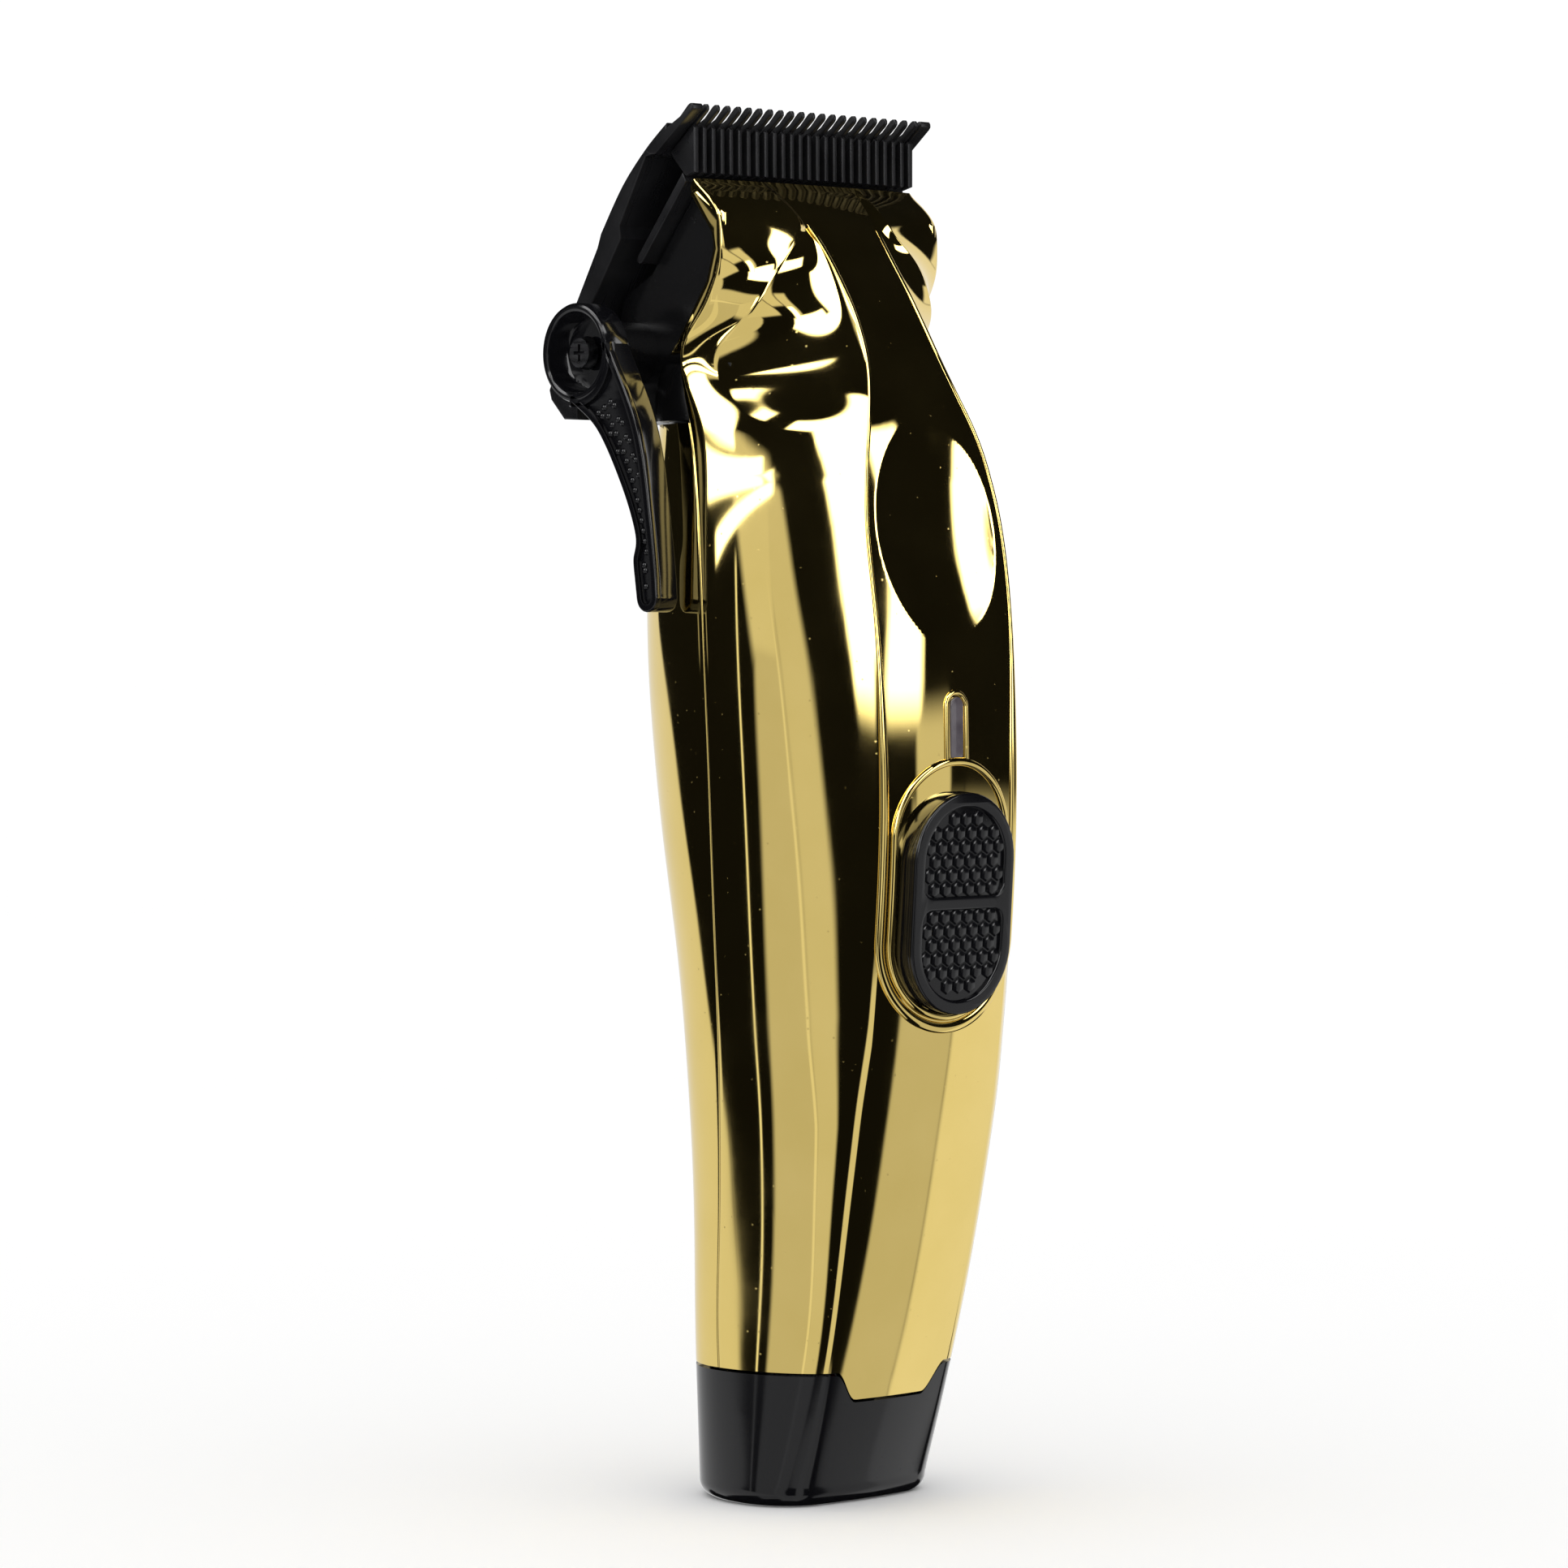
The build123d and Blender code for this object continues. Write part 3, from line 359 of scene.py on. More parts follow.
def tube(name, path, radius, closed=False, count=10, flat=1.0):
    """A round or flattened bar along points, its short axis along the housing's outward side."""
    path = np.asarray(path, float)
    ahead = np.roll(path, -1, 0) - np.roll(path, 1, 0)
    if not closed:
        ahead[0], ahead[-1] = path[1] - path[0], path[-1] - path[-2]
    ahead /= np.linalg.norm(ahead, axis=1)[:, None]
    out = np.array([0, -1.0, 0]) + 0 * path
    out -= np.sum(out * ahead, axis=1)[:, None] * ahead
    out /= np.linalg.norm(out, axis=1)[:, None]
    side = np.cross(ahead, out)
    radius = np.broadcast_to(radius, len(path))[:, None]
    turn = np.linspace(0, 2 * pi, count, endpoint=False)
    rings = np.stack([path + radius * (side * cos(a) + out * sin(a) * flat) for a in turn], axis=1)
    verts = rings.reshape(-1, 3)
    faces = grid_faces(len(path), count, wrap=True)
    if closed:
        base = (len(path) - 1) * count
        faces += [(base + j, base + (j + 1) % count, (j + 1) % count, j) for j in range(count)]
    else:
        faces.append(tuple(range(count)))
        faces.append(tuple((len(path) - 1) * count + j for j in range(count)))
    return new_object(name, verts, faces)


def arc(centre, radius, start, end, count):
    """Points of an arc, angles in degrees."""
    turn = np.radians(np.linspace(start, end, count))
    return [(centre[0] + radius * cos(a), centre[1] + radius * sin(a)) for a in turn]


def stadium(width, height, centre=(0, 0), count=24):
    """Outline of an upright slot shape."""
    r, straight = width / 2, (height - width) / 2
    x, y = centre
    return arc((x, y + straight), r, 0, 180, count) + arc((x, y - straight), r, 180, 360, count)


def spline_points(points, count):
    """A smooth line through a few 2-D points (Catmull-Rom), count points per span."""
    p = np.array([points[0], *points, points[-1]], float)
    t = np.linspace(0, 1, count, endpoint=False)[:, None]
    out = []
    for a, b, c, d in zip(p[:-3], p[1:-2], p[2:-1], p[3:]):
        square, cube = 2 * a - 5 * b + 4 * c - d, 3 * b - a - 3 * c + d
        out.extend(0.5 * (2 * b + (c - a) * t + square * t ** 2 + cube * t ** 3))
    return [tuple(v) for v in out] + [tuple(p[-1])]


def dense(line, step, closed=False):
    """A line with points added along its spans, about step apart."""
    line = np.array(line)
    points = []
    for a, b in zip(line, np.roll(line, -1, 0) if closed else line[1:]):
        steps = max(1, int(np.hypot(*(b - a)) / step))
        points += [a + (b - a) * k / steps for k in range(steps)]
    return np.array(points if closed else [*points, line[-1]])


def inset(outline, amount):
    """A closed outline moved inwards by amount."""
    p = np.array(outline, float)
    ahead = np.roll(p, -1, 0) - np.roll(p, 1, 0)
    normal = np.stack([-ahead[:, 1], ahead[:, 0]], axis=1)
    normal /= np.maximum(np.linalg.norm(normal, axis=1), 1e-9)[:, None]
    area = np.sum(p[:, 0] * np.roll(p[:, 1], -1) - p[:, 1] * np.roll(p[:, 0], -1))
    return [tuple(v) for v in p + normal * amount * (1 if area > 0 else -1)]


def front_frame(lean, y, z):
    """Frame of a plate on the front, about (y, z): its height points outwards, leaning by lean."""
    return Matrix((
        (1, 0, 0, 0),
        (0, -sin(lean), -cos(lean), y),
        (0, cos(lean), -sin(lean), z),
        (0, 0, 0, 1),
    ))


# In SIDE the plate's (a, b) are the row's (y, z), and its height runs along +X.
SIDE = Matrix(((0, 0, 1, 0), (1, 0, 0, 0), (0, 1, 0, 0), (0, 0, 0, 1)))


def place(piece, body, slot, *nodes):
    """Let a piece ride on a body, stand for CAD nodes and take a material slot."""
    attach(piece, body)
    if nodes:
        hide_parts(*nodes)
    piece.data.materials.clear()
    piece.data.materials.append(MATERIALS[slot])
    return piece


# ---------------------------------------------------------------- materials
def math_node(tree, operation, *values):
    """A maths node fed with numbers or with other nodes' outputs."""
    node = tree.nodes.new("ShaderNodeMath")
    node.operation = operation
    for socket, value in zip(node.inputs, values):
        if isinstance(value, (int, float)):
            socket.default_value = value
        else:
            tree.links.new(value, socket)
    return node.outputs[0]


class Shader:
    """A Principled material with helpers for its procedural detail."""

    def __init__(self, name, color, metallic, roughness, **sockets):
        self.material = bpy.data.materials.new(name)
        self.material.use_nodes = True
        self.tree = self.material.node_tree
        self.bsdf = self.tree.nodes["Principled BSDF"]
        self.bsdf.inputs["Base Color"].default_value = (*color, 1)
        self.bsdf.inputs["Metallic"].default_value = metallic
        self.bsdf.inputs["Roughness"].default_value = roughness
        for key, value in sockets.items():
            self.bsdf.inputs[key.replace("_", " ")].default_value = value
        self.where = self.tree.nodes.new("ShaderNodeTexCoord").outputs["Object"]
        self.height = None

    def link(self, a, b):
        self.tree.links.new(a, b)

    def stretched(self, scale):
        node = self.tree.nodes.new("ShaderNodeMapping")
        node.inputs["Scale"].default_value = scale
        self.link(self.where, node.inputs["Vector"])
        return node.outputs["Vector"]

    def noise(self, scale, detail=3.0, stretch=(1, 1, 1)):
        node = self.tree.nodes.new("ShaderNodeTexNoise")
        node.inputs["Scale"].default_value = scale
        node.inputs["Detail"].default_value = detail
        self.link(self.stretched(stretch), node.inputs["Vector"])
        return node.outputs["Fac"]

    def dust(self, scale, size, roughness):
        """Added roughness in specks, from a cell pattern."""
        node = self.tree.nodes.new("ShaderNodeTexVoronoi")
        node.inputs["Scale"].default_value = scale
        self.link(self.where, node.inputs["Vector"])
        return self.remap(node.outputs["Distance"], 0.0, size, roughness, 0.0)

    def remap(self, value, low, high, to_low, to_high):
        node = self.tree.nodes.new("ShaderNodeMapRange")
        limits = {"From Min": low, "From Max": high, "To Min": to_low, "To Max": to_high}
        for socket, number in limits.items():
            node.inputs[socket].default_value = number
        self.link(value, node.inputs["Value"])
        return node.outputs["Result"]

    def roughness(self, value, dust=None):
        if dust is not None:
            value = math_node(self.tree, "ADD", value, dust)
        self.link(value, self.bsdf.inputs["Roughness"])

    def colour(self, value, dark, light):
        ramp = self.tree.nodes.new("ShaderNodeValToRGB")
        ramp.color_ramp.elements[0].color = (*dark, 1)
        ramp.color_ramp.elements[1].color = (*light, 1)
        self.link(value, ramp.inputs["Fac"])
        self.link(ramp.outputs["Color"], self.bsdf.inputs["Base Color"])

    def bump(self, value, strength, distance):
        node = self.tree.nodes.new("ShaderNodeBump")
        node.inputs["Strength"].default_value = strength
        node.inputs["Distance"].default_value = distance
        self.link(value, node.inputs["Height"])
        if self.height is not None:
            self.link(self.height, node.inputs["Normal"])
        self.height = node.outputs["Normal"]
        self.link(self.height, self.bsdf.inputs["Normal"])


def gold_chrome():
    """Mirror gold plating: faint cloudiness, hairline scratches and specks of dust."""
    s = Shader("gold_chrome", (0.80, 0.61, 0.21), 1.0, 0.04)
    haze = s.noise(90, 4)
    s.colour(haze, (0.76, 0.58, 0.175), (0.87, 0.67, 0.24))
    s.roughness(s.remap(haze, 0.3, 0.8, 0.025, 0.075), s.dust(520, 0.10, 0.30))
    scratch = s.noise(240, 2, (1, 1, 0.03))
    s.bump(s.remap(scratch, 0.60, 0.72, 0, 1), 0.10, 0.00002)
    s.bump(s.noise(16, 2, (1, 1, 0.35)), 0.10, 0.0006)
    return s.material


def plastic(name, color, roughness, grain, bump, specular=0.5):
    """Moulded plastic: slight unevenness of the gloss, moulding grain and dust."""
    s = Shader(name, color, 0.0, roughness, Specular_IOR_Level=specular)
    cloud = s.noise(60, 5)
    s.colour(cloud, tuple(0.7 * c for c in color), tuple(1.4 * c for c in color))
    s.roughness(s.remap(cloud, 0.3, 0.75, 0.75 * roughness, 1.3 * roughness), s.dust(700, 0.08, 0.35))
    s.bump(s.noise(grain, 3), bump, 0.00003)
    return s.material


def metal(name, color, roughness, stretch, bump=0.15):
    """Ground or turned metal with directional lines."""
    s = Shader(name, color, 1.0, roughness)
    lines = s.noise(1400, 4, stretch)
    s.colour(lines, tuple(0.65 * c for c in color), tuple(min(1, 1.35 * c) for c in color))
    s.roughness(s.remap(lines, 0.3, 0.7, 0.7 * roughness, 1.4 * roughness))
    s.bump(lines, bump, 0.00002)
    return s.material


def blade_coat():
    """Dark coating over ground steel, a little worn and dusty."""
    s = Shader("black_blade", (0.02, 0.02, 0.022), 0.4, 0.3, Specular_IOR_Level=0.3)
    lines = s.noise(900, 3, (1, 0.08, 0.08))
    s.colour(s.noise(300, 5), (0.006, 0.006, 0.007), (0.022, 0.022, 0.024))
    s.roughness(s.remap(lines, 0.25, 0.75, 0.2, 0.42))
    s.bump(lines, 0.25, 0.00002)
    return s.material


def smoked_lens():
    """Smoked clear plastic light pipe with frosting inside."""
    glass = {"Transmission_Weight": 0.25, "IOR": 1.49, "Coat_Weight": 0.6}
    s = Shader("smoked_lens", (0.10, 0.085, 0.10), 0.0, 0.15, **glass)
    s.colour(s.noise(400, 3), (0.055, 0.045, 0.055), (0.17, 0.15, 0.17))
    s.roughness(s.remap(s.noise(900, 3), 0.3, 0.7, 0.10, 0.25))
    return s.material


MATERIALS = {
    "gold_chrome": gold_chrome(),
    "black_gloss": plastic("black_gloss", (0.004, 0.004, 0.005), 0.11, 900, 0.04, 0.38),
    "black_satin": plastic("black_satin", (0.004, 0.004, 0.0045), 0.26, 2200, 0.3, 0.3),
    "black_blade": blade_coat(),
    "steel": metal("steel", (0.50, 0.50, 0.52), 0.28, (1, 1, 0.05)),
    "dark_steel": metal("dark_steel", (0.10, 0.10, 0.105), 0.30, (1, 0.2, 1), 0.3),
    "smoked_lens": smoked_lens(),
    "board_green": plastic("board_green", (0.015, 0.11, 0.045), 0.35, 1500, 0.2),
    "component_dark": plastic("component_dark", (0.03, 0.03, 0.032), 0.45, 2000, 0.3),
    "cell_wrap": plastic("cell_wrap", (0.03, 0.13, 0.36), 0.22, 1000, 0.1),
    "copper": metal("copper", (0.75, 0.36, 0.17), 0.32, (1, 1, 12)),
    "magnet": plastic("magnet", (0.06, 0.06, 0.065), 0.6, 1800, 0.4),
    "rubber_black": plastic("rubber_black", (0.018, 0.018, 0.018), 0.7, 1600, 0.4),
    "red_wire": plastic("red_wire", (0.42, 0.02, 0.02), 0.4, 1400, 0.2),
    "white_nylon": plastic("white_nylon", (0.62, 0.61, 0.57), 0.38, 1500, 0.2),
}
for entry in frame["record"]["subparts"]:
    node = frame["nodes"][entry["node"]]
    node.data.materials.clear()
    node.data.materials.append(MATERIALS[entry["material_slot"]])


# ---------------------------------------------------------------- gold shells
def front_shell():
    """The front shell as one wall, from the cap's seam to the edge under the cutter."""
    panel = np.sin(np.linspace(0, 1, 34) * pi / 2)
    flank = np.concatenate([
        np.linspace(0, 0.04, 5)[1:],
        np.linspace(0.04, RIDGE_T - 0.05, 38)[1:],
        np.linspace(RIDGE_T - 0.05, RIDGE_T + 0.05, 12)[1:],
        np.linspace(RIDGE_T + 0.05, 1, 18)[1:],
    ])
    right = np.concatenate([panel, 1 + flank])
    s = np.concatenate([-right[:0:-1], right])
    share = np.linspace(0, 1, 345)[:, None]
    start = SEAM_Z + 0 * s
    # The edge's height depends on where it is, and where it is on its height, so it is found in rounds.
    for _ in range(3):
        spot = front_point(np.abs(s), start)
        start = seam_height(spot[:, 0], spot[:, 1], SEAM_GAP)
    z = start + (COVER_TOP - SEAM_GAP - start) * share
    flat = front_point(np.abs(s) + 0 * z, z)
    points = np.stack([flat[..., 0] * np.sign(s), flat[..., 1], z], axis=-1)
    return shell_from_grid("front_shell_skin", points, WALL)


def back_shell():
    """The back shell as one wall; its top closes in under the blade's heel."""
    right = np.linspace(0, 1, 60)
    s = np.concatenate([right, right[-2::-1]])
    side = np.concatenate([np.ones(60), -np.ones(59)])
    z = np.linspace(SEAM_Z + SEAM_GAP, BACK_TOP - SEAM_GAP, 300)[:, None]
    flat = back_point(s + 0 * z, z + 0 * s)
    points = np.stack([flat[..., 0] * side, flat[..., 1] + 0.45 * (1 - s) ** 8, z + 0 * s], axis=-1)
    return shell_from_grid("back_shell_skin", points, WALL)


def surface(x, z):
    """Point of the front at x and z, for |x| up to the panel's edge."""
    panel = read_table(STATION_TABLE, z)[4]
    flat = front_point(np.abs(x) / panel, z)
    return np.stack([x, flat[..., 1], z], axis=-1)


BEAD_FLOOR_Z = 73.6


def panel_bead():
    """The bead along both edges of the panel, which turns round under the switch."""
    z = np.linspace(164.6, BEAD_FLOOR_Z, 220)
    panel = read_table(STATION_TABLE, z)[4]
    down = np.stack([-panel, z], axis=1)
    radius = read_table(STATION_TABLE, np.array([BEAD_FLOOR_Z]))[4][0]
    bottom = np.array(arc((0, BEAD_FLOOR_Z), radius, 180, 360, 90))[1:-1]
    up = down[::-1] * (-1, 1)
    line = np.concatenate([down, bottom, up])
    path = surface(line[:, 0], line[:, 1])
    width = 0.32 + 0.42 * (1 - smoothstep(92, 118, line[:, 1]))
    return tube("panel_bead", path, width, flat=0.5, count=16)


SWITCH_TOP_Z, SWITCH_LOW_Z, SWITCH_HALF = 96.2, 63.6, 9.9


def switch_bezel():
    """The raised edge of the recess round the switch, open towards the status light."""
    straight = (SWITCH_TOP_Z - SWITCH_LOW_Z) / 2 - SWITCH_HALF
    middle = (SWITCH_TOP_Z + SWITCH_LOW_Z) / 2
    top = arc((0, middle + straight), SWITCH_HALF, 0, 180, 60)
    bottom = arc((0, middle - straight), SWITCH_HALF, 180, 360, 60)
    line = dense(top + bottom, 0.5, closed=True)
    return tube("switch_bezel", surface(line[:, 0], line[:, 1]), 0.55, closed=True, flat=0.8, count=12)


LIGHT_HALF, LIGHT_LOW_Z, LIGHT_TOP_Z = 1.75, 95.8, 103.2


def light_border():
    """The raised edge round the status light, joined to the switch's bezel below."""
    left = [(-LIGHT_HALF, LIGHT_LOW_Z), (-LIGHT_HALF, LIGHT_TOP_Z)]
    right = [(LIGHT_HALF, LIGHT_TOP_Z), (LIGHT_HALF, LIGHT_LOW_Z)]
    line = dense(left + arc((0, LIGHT_TOP_Z), LIGHT_HALF, 180, 0, 20) + right, 0.4)
    return tube("light_border", surface(line[:, 0], line[:, 1]), 0.38, flat=0.8)


RIM_FRONT = [
    (2.3, 169.6), (1.2, 168.9), (-3.0, 166.0), (-3.15, 161.0), (-2.1, 157.8), (-0.1, 154.4),
    (2.6, 151.4), (4.7, 148.4),
]
RIM_BACK = [(7.4, 148.2), (5.7, 150.2), (0.3, 157.5), (-1.0, 161.6), (-0.7, 163.5), (3.5, 168.7)]


def head_rim(sign):
    """The flat lip along the side of the head."""
    low, high = sorted((sign * 17.7, sign * (RIM_X + 0.05)))
    return plate("head_rim", [RIM_FRONT + RIM_BACK], low, high, 0.7, SIDE, 7)


gold = join("gold_front_shell", [
    front_shell(), panel_bead(), switch_bezel(), light_border(), head_rim(-1), head_rim(1),
])
shade(gold, flat_angle=48)
place(gold, "housing", "gold_chrome", "front_shell")
place(back_shell(), "housing", "gold_chrome", "back_shell")


# ---------------------------------------------------------------- bottom cap
WALL_ROWS = 26
FOOT = 2.2
CAP_GAP = 0.1
SOCKET_Y, SOCKET_R = 6.2, 3.75


def bottom_cap():
    """The cap: outer wall with a rounded foot, floor with the socket's hole, and a hollow."""
    front = np.linspace(0, 2, 70)
    back = np.linspace(0, 1, 40)
    spot = front_point(front, 0 * front + SEAM_Z)
    top = seam_height(spot[:, 0], spot[:, 1], -CAP_GAP)
    rows = []
    for share in np.linspace(1, 0, WALL_ROWS):
        front_z = FOOT + (top - FOOT) * share
        back_z = FOOT + (SEAM_Z - CAP_GAP - FOOT) * share + 0 * back
        front_line = np.column_stack([front_point(front, front_z), front_z])
        back_line = np.column_stack([back_point(back, back_z), back_z])
        right = np.concatenate([front_line, back_line[1:]])
        left = right[-2:0:-1] * (-1, 1, 1)
        rows.append(np.concatenate([right, left]))
    base = rows[-1]
    centre = np.array([0, 1.6, 0])
    for a in np.radians(np.arange(10, 91, 10)):
        ring = base.copy()
        out = (base - centre) * (1, 1, 0)
        out /= np.linalg.norm(out, axis=1)[:, None]
        ring -= out * FOOT * (1 - cos(a))
        ring[:, 2] = FOOT * (1 - sin(a))
        rows.append(ring)
    hole = np.array([0, SOCKET_Y, 0])
    rim = rows[-1]
    toward = rim - hole
    angle = np.arctan2(toward[:, 1], toward[:, 0])
    edge = hole + SOCKET_R * np.column_stack([np.cos(angle), np.sin(angle), 0 * angle])
    for share in (0.3, 0.65, 1.0):
        rows.append(rim + (edge - rim) * share)
    rows.append(rows[-1] + (0, 0, FOOT))
    # The hollow's rings are the outer rings drawn in, so that it follows the wall all the way up.
    middle, top_row = rows[WALL_ROWS // 2], rows[0]
    for outer, width, depth in ((base, 0.84, 0.80), (middle, 0.88, 0.84), (top_row, 0.9, 0.88)):
        rows.append(outer * (width, depth, 1))
    verts = np.concatenate(rows)
    columns = len(rows[0])
    faces = grid_faces(len(rows), columns, wrap=True)
    last = (len(rows) - 1) * columns
    faces += [(last + j, last + (j + 1) % columns, (j + 1) % columns, j) for j in range(columns)]
    return new_object("bottom_cap_skin", verts, faces, flat_angle=40)


place(bottom_cap(), "housing", "black_gloss", "bottom_cap")


# ---------------------------------------------------------------- switch button and status light
SWITCH_AT = front_frame(radians(3.8), -25.2, 79.5)
BUTTON_W, BUTTON_H, BUTTON_SHIFT = 17.6, 28.4, -1.25
FIELD_MARGIN, FIELD_CORNER = 1.8, 1.6
PAD_PITCH, PAD_LEVEL = 2.05, 1.86
# Rings of a pad: radius, and height above the field.
PAD_RINGS = ((1.12, 0), (1.08, 0.12), (0.88, 0.30), (0.70, 0.36))


def button_field(top, bottom):
    """Outline of one sunk field of the button, round at the end of the button it lies in."""
    r = FIELD_CORNER
    half, centre = (BUTTON_W - 2 * FIELD_MARGIN) / 2, BUTTON_H / 2 - BUTTON_W / 2
    if top:
        outline = arc((0, centre), half, 0, 180, 28)
        outline += arc((-half + r, bottom + r), r, 180, 270, 6) + arc((half - r, bottom + r), r, 270, 360, 6)
    else:
        outline = arc((half - r, bottom - r), r, 0, 90, 6) + arc((-half + r, bottom - r), r, 90, 180, 6)
        outline += arc((0, -centre), half, 180, 360, 28)
    return [(x, y + BUTTON_SHIFT) for x, y in outline]


def inside(outline, x, y):
    """Whether a point is inside a closed outline."""
    p = np.array(outline)
    q = np.roll(p, -1, 0)
    crosses = (p[:, 1] > y) != (q[:, 1] > y)
    with np.errstate(divide="ignore", invalid="ignore"):
        cut = p[:, 0] + (y - p[:, 1]) / (q[:, 1] - p[:, 1]) * (q[:, 0] - p[:, 0])
    return bool(np.sum(crosses & (x < cut)) % 2)


def hexagon_pads(outline):
    """Six-sided pads on a staggered grid inside an outline."""
    verts, faces = [], []
    room = inset(outline, 0.55)
    for row in range(-9, 10):
        for column in range(-6, 7):
            x = (column + 0.5 * (row % 2)) * PAD_PITCH
            y = row * PAD_PITCH * 0.866 + BUTTON_SHIFT + 0.2
            if not inside(room, x, y):
                continue
            start = len(verts)
            for radius, height in PAD_RINGS:
                for k in range(6):
                    a = radians(30 + 60 * k)
                    spot = Vector((x + radius * cos(a), y + radius * sin(a), PAD_LEVEL + height))
                    verts.append(SWITCH_AT @ spot)
            faces += [tuple(start + i for i in face) for face in grid_faces(len(PAD_RINGS), 6, wrap=True)]
            faces.append(tuple(start + 18 + k for k in range(6)))
            faces.append(tuple(start + k for k in range(6)))
    return new_object("pads", verts, faces, flat_angle=20)


def switch_button():
    """The sliding button: body, raised frame, two fields of pads."""
    upper, lower = button_field(True, 0.95), button_field(False, -0.75)
    centre = (0, BUTTON_SHIFT)
    body = plate("body", [stadium(BUTTON_W, BUTTON_H, centre)], -0.5, 1.9, 0.25, SWITCH_AT, 3)
    rim = plate("rim", [stadium(BUTTON_W, BUTTON_H, centre), upper, lower], 1.4, 2.35, 0.32, SWITCH_AT, 4)
    return join("switch_button_skin", [body, rim, hexagon_pads(upper), hexagon_pads(lower)])


button = switch_button()
shade(button, flat_angle=25)
place(button, "switch", "black_gloss", "switch_button")

LED_AT = front_frame(0, -26.0, 100.7)
lens = plate("led_lens_skin", [stadium(2.3, 8.4, (0, -0.5))], -7.0, 0.22, 0.2, LED_AT, 3)
place(lens, "housing", "smoked_lens", "led_lens")


# ---------------------------------------------------------------- taper lever
LEVER_FRONT = [(9.6, 149.9), (4.8, 141.4), (2.6, 135.2), (1.1, 126.9), (0.2, 120.7), (-0.1, 117.2)]
LEVER_BACK = [(4.0, 119.2), (4.3, 121.8), (3.9, 124.9), (6.5, 131.1), (11.3, 138.5), (16.6, 142.3)]
# The line that the dimples follow.
DIMPLE_LINE = [(10.6, 141.8), (6.6, 135.6), (4.0, 129.6), (2.2, 122.9), (1.6, 118.4)]
DIMPLE_ROWS, DIMPLE_PITCH = 19, 1.36
# A dimple's profile: radius, and height above the arm's face (outwards is towards -X).
DIMPLE_PROFILE = ((0.48, 0), (0.45, -0.14), (0.31, -0.30), (0.11, -0.38))
BOSS_CLEARANCE = 7.0


def lever_outline():
    """The arm's side outline, (y, z)."""
    front_edge = spline_points(LEVER_FRONT, 8)
    tip = arc((1.75, 117.0), 1.9, 180, 350, 12)
    back_edge = spline_points(LEVER_BACK, 8)
    return front_edge + tip + back_edge + arc((LEVER_Y, LEVER_Z), 6.1, 280, 168, 24)


def dimple_spots():
    """(y, z) of the dimples: three abreast on the arm, one at its waist, two at its tip."""
    line = np.array(spline_points(DIMPLE_LINE, 60))
    length = np.concatenate([[0], np.cumsum(np.linalg.norm(np.diff(line, axis=0), axis=1))])
    spots = []
    for k in range(DIMPLE_ROWS):
        reach = 0.6 + k * DIMPLE_PITCH
        y, z = (np.interp(reach, length, line[:, axis]) for axis in (0, 1))
        offsets = [0.0]
        if z > 131:
            offsets = [-1.35, 0.0, 1.35]
        elif z < 122.5:
            offsets = [-0.75, 0.75]
        shift = 0.68 * (k % 2)
        for offset in offsets:
            spots.append((y + offset * 0.86, z + offset * -0.5 + (shift if offset else 0)))
    return spots


def taper_lever():
    """The lever: arm with raised edges and dimples, and a dished boss."""
    arm = lever_outline()
    body = plate("arm", [arm], LEVER_OUT + 0.5, LEVER_IN, 0.45, SIDE, 5)
    edge = plate("edge", [arm, inset(arm, 0.75)], LEVER_OUT, LEVER_OUT + 1.0, 0.2, SIDE, 3)
    at = SIDE @ Matrix.Translation((LEVER_Y, LEVER_Z, 0))
    profile = [
        (1.25, LEVER_IN), (6.1, LEVER_IN), (6.4, LEVER_IN - 0.3), (6.4, LEVER_OUT + 0.4),
        (6.25, LEVER_OUT + 0.12), (5.95, LEVER_OUT), (5.6, LEVER_OUT), (5.35, LEVER_OUT + 0.15),
        (5.25, LEVER_OUT + 0.5), (4.9, -25.4), (4.5, -25.0), (1.25, -25.0),
    ]
    boss = lathe("boss", profile, at, 96)
    room = inset(arm, 1.15)
    face = LEVER_OUT + 0.56
    dimples = []
    for y, z in dimple_spots():
        if inside(room, y, z) and np.hypot(y - LEVER_Y, z - LEVER_Z) > BOSS_CLEARANCE:
            dot = SIDE @ Matrix.Translation((y, z, 0))
            dimples.append(lathe("dot", [(r, face + h) for r, h in DIMPLE_PROFILE], dot, 14))
    return join("taper_lever_skin", [body, edge, boss, *dimples])


lever = taper_lever()
shade(lever, flat_angle=40)
place(lever, "lever", "black_gloss", "taper_lever")


# ---------------------------------------------------------------- blade and cutter
BLADE_HALF = 21.5
CUTTER_HALF = 19.6
# Teeth each side of the middle one, their spacing, and the heights over which they taper.
TEETH_ASIDE, TOOTH_PITCH, TOOTH_TAPER = 11, 1.86, (176.8, 180.2)
FINS, FIN_PITCH = 26, 1.53
# Side outlines, (y, z).
BLADE_OUTER = [
    (0.5, 180.0), (3.4, 179.0), (9.3, 174.5), (13.6, 170.8), (18.0, 164.2), (18.7, 162.4),
    (22.9, 155.4), (28.3, 144.2), (27.9, 142.9), (25.3, 140.3), (22.6, 140.2),
]
BLADE_INNER = [
    (22.7, 141.2), (19.7, 155.3), (14.1, 163.4), (14.4, 165.0), (9.3, 173.6), (7.3, 173.8),
    (0.6, 178.95), (0.3, 179.7),
]
TOOTH_SIDE = [
    (0.3, 179.7), (0.5, 179.98), (0.9, 180.0), (1.3, 179.8), (2.7, 178.4), (4.6, 177.4), (9.3, 174.5),
    (8.4, 173.9), (7.3, 173.85), (0.6, 178.95), (0.3, 179.3),
]
BLADE_CURVE = spline_points([(5.2, 177.75), (9.3, 174.6), (13.8, 170.1), (18.0, 164.2)], 8)
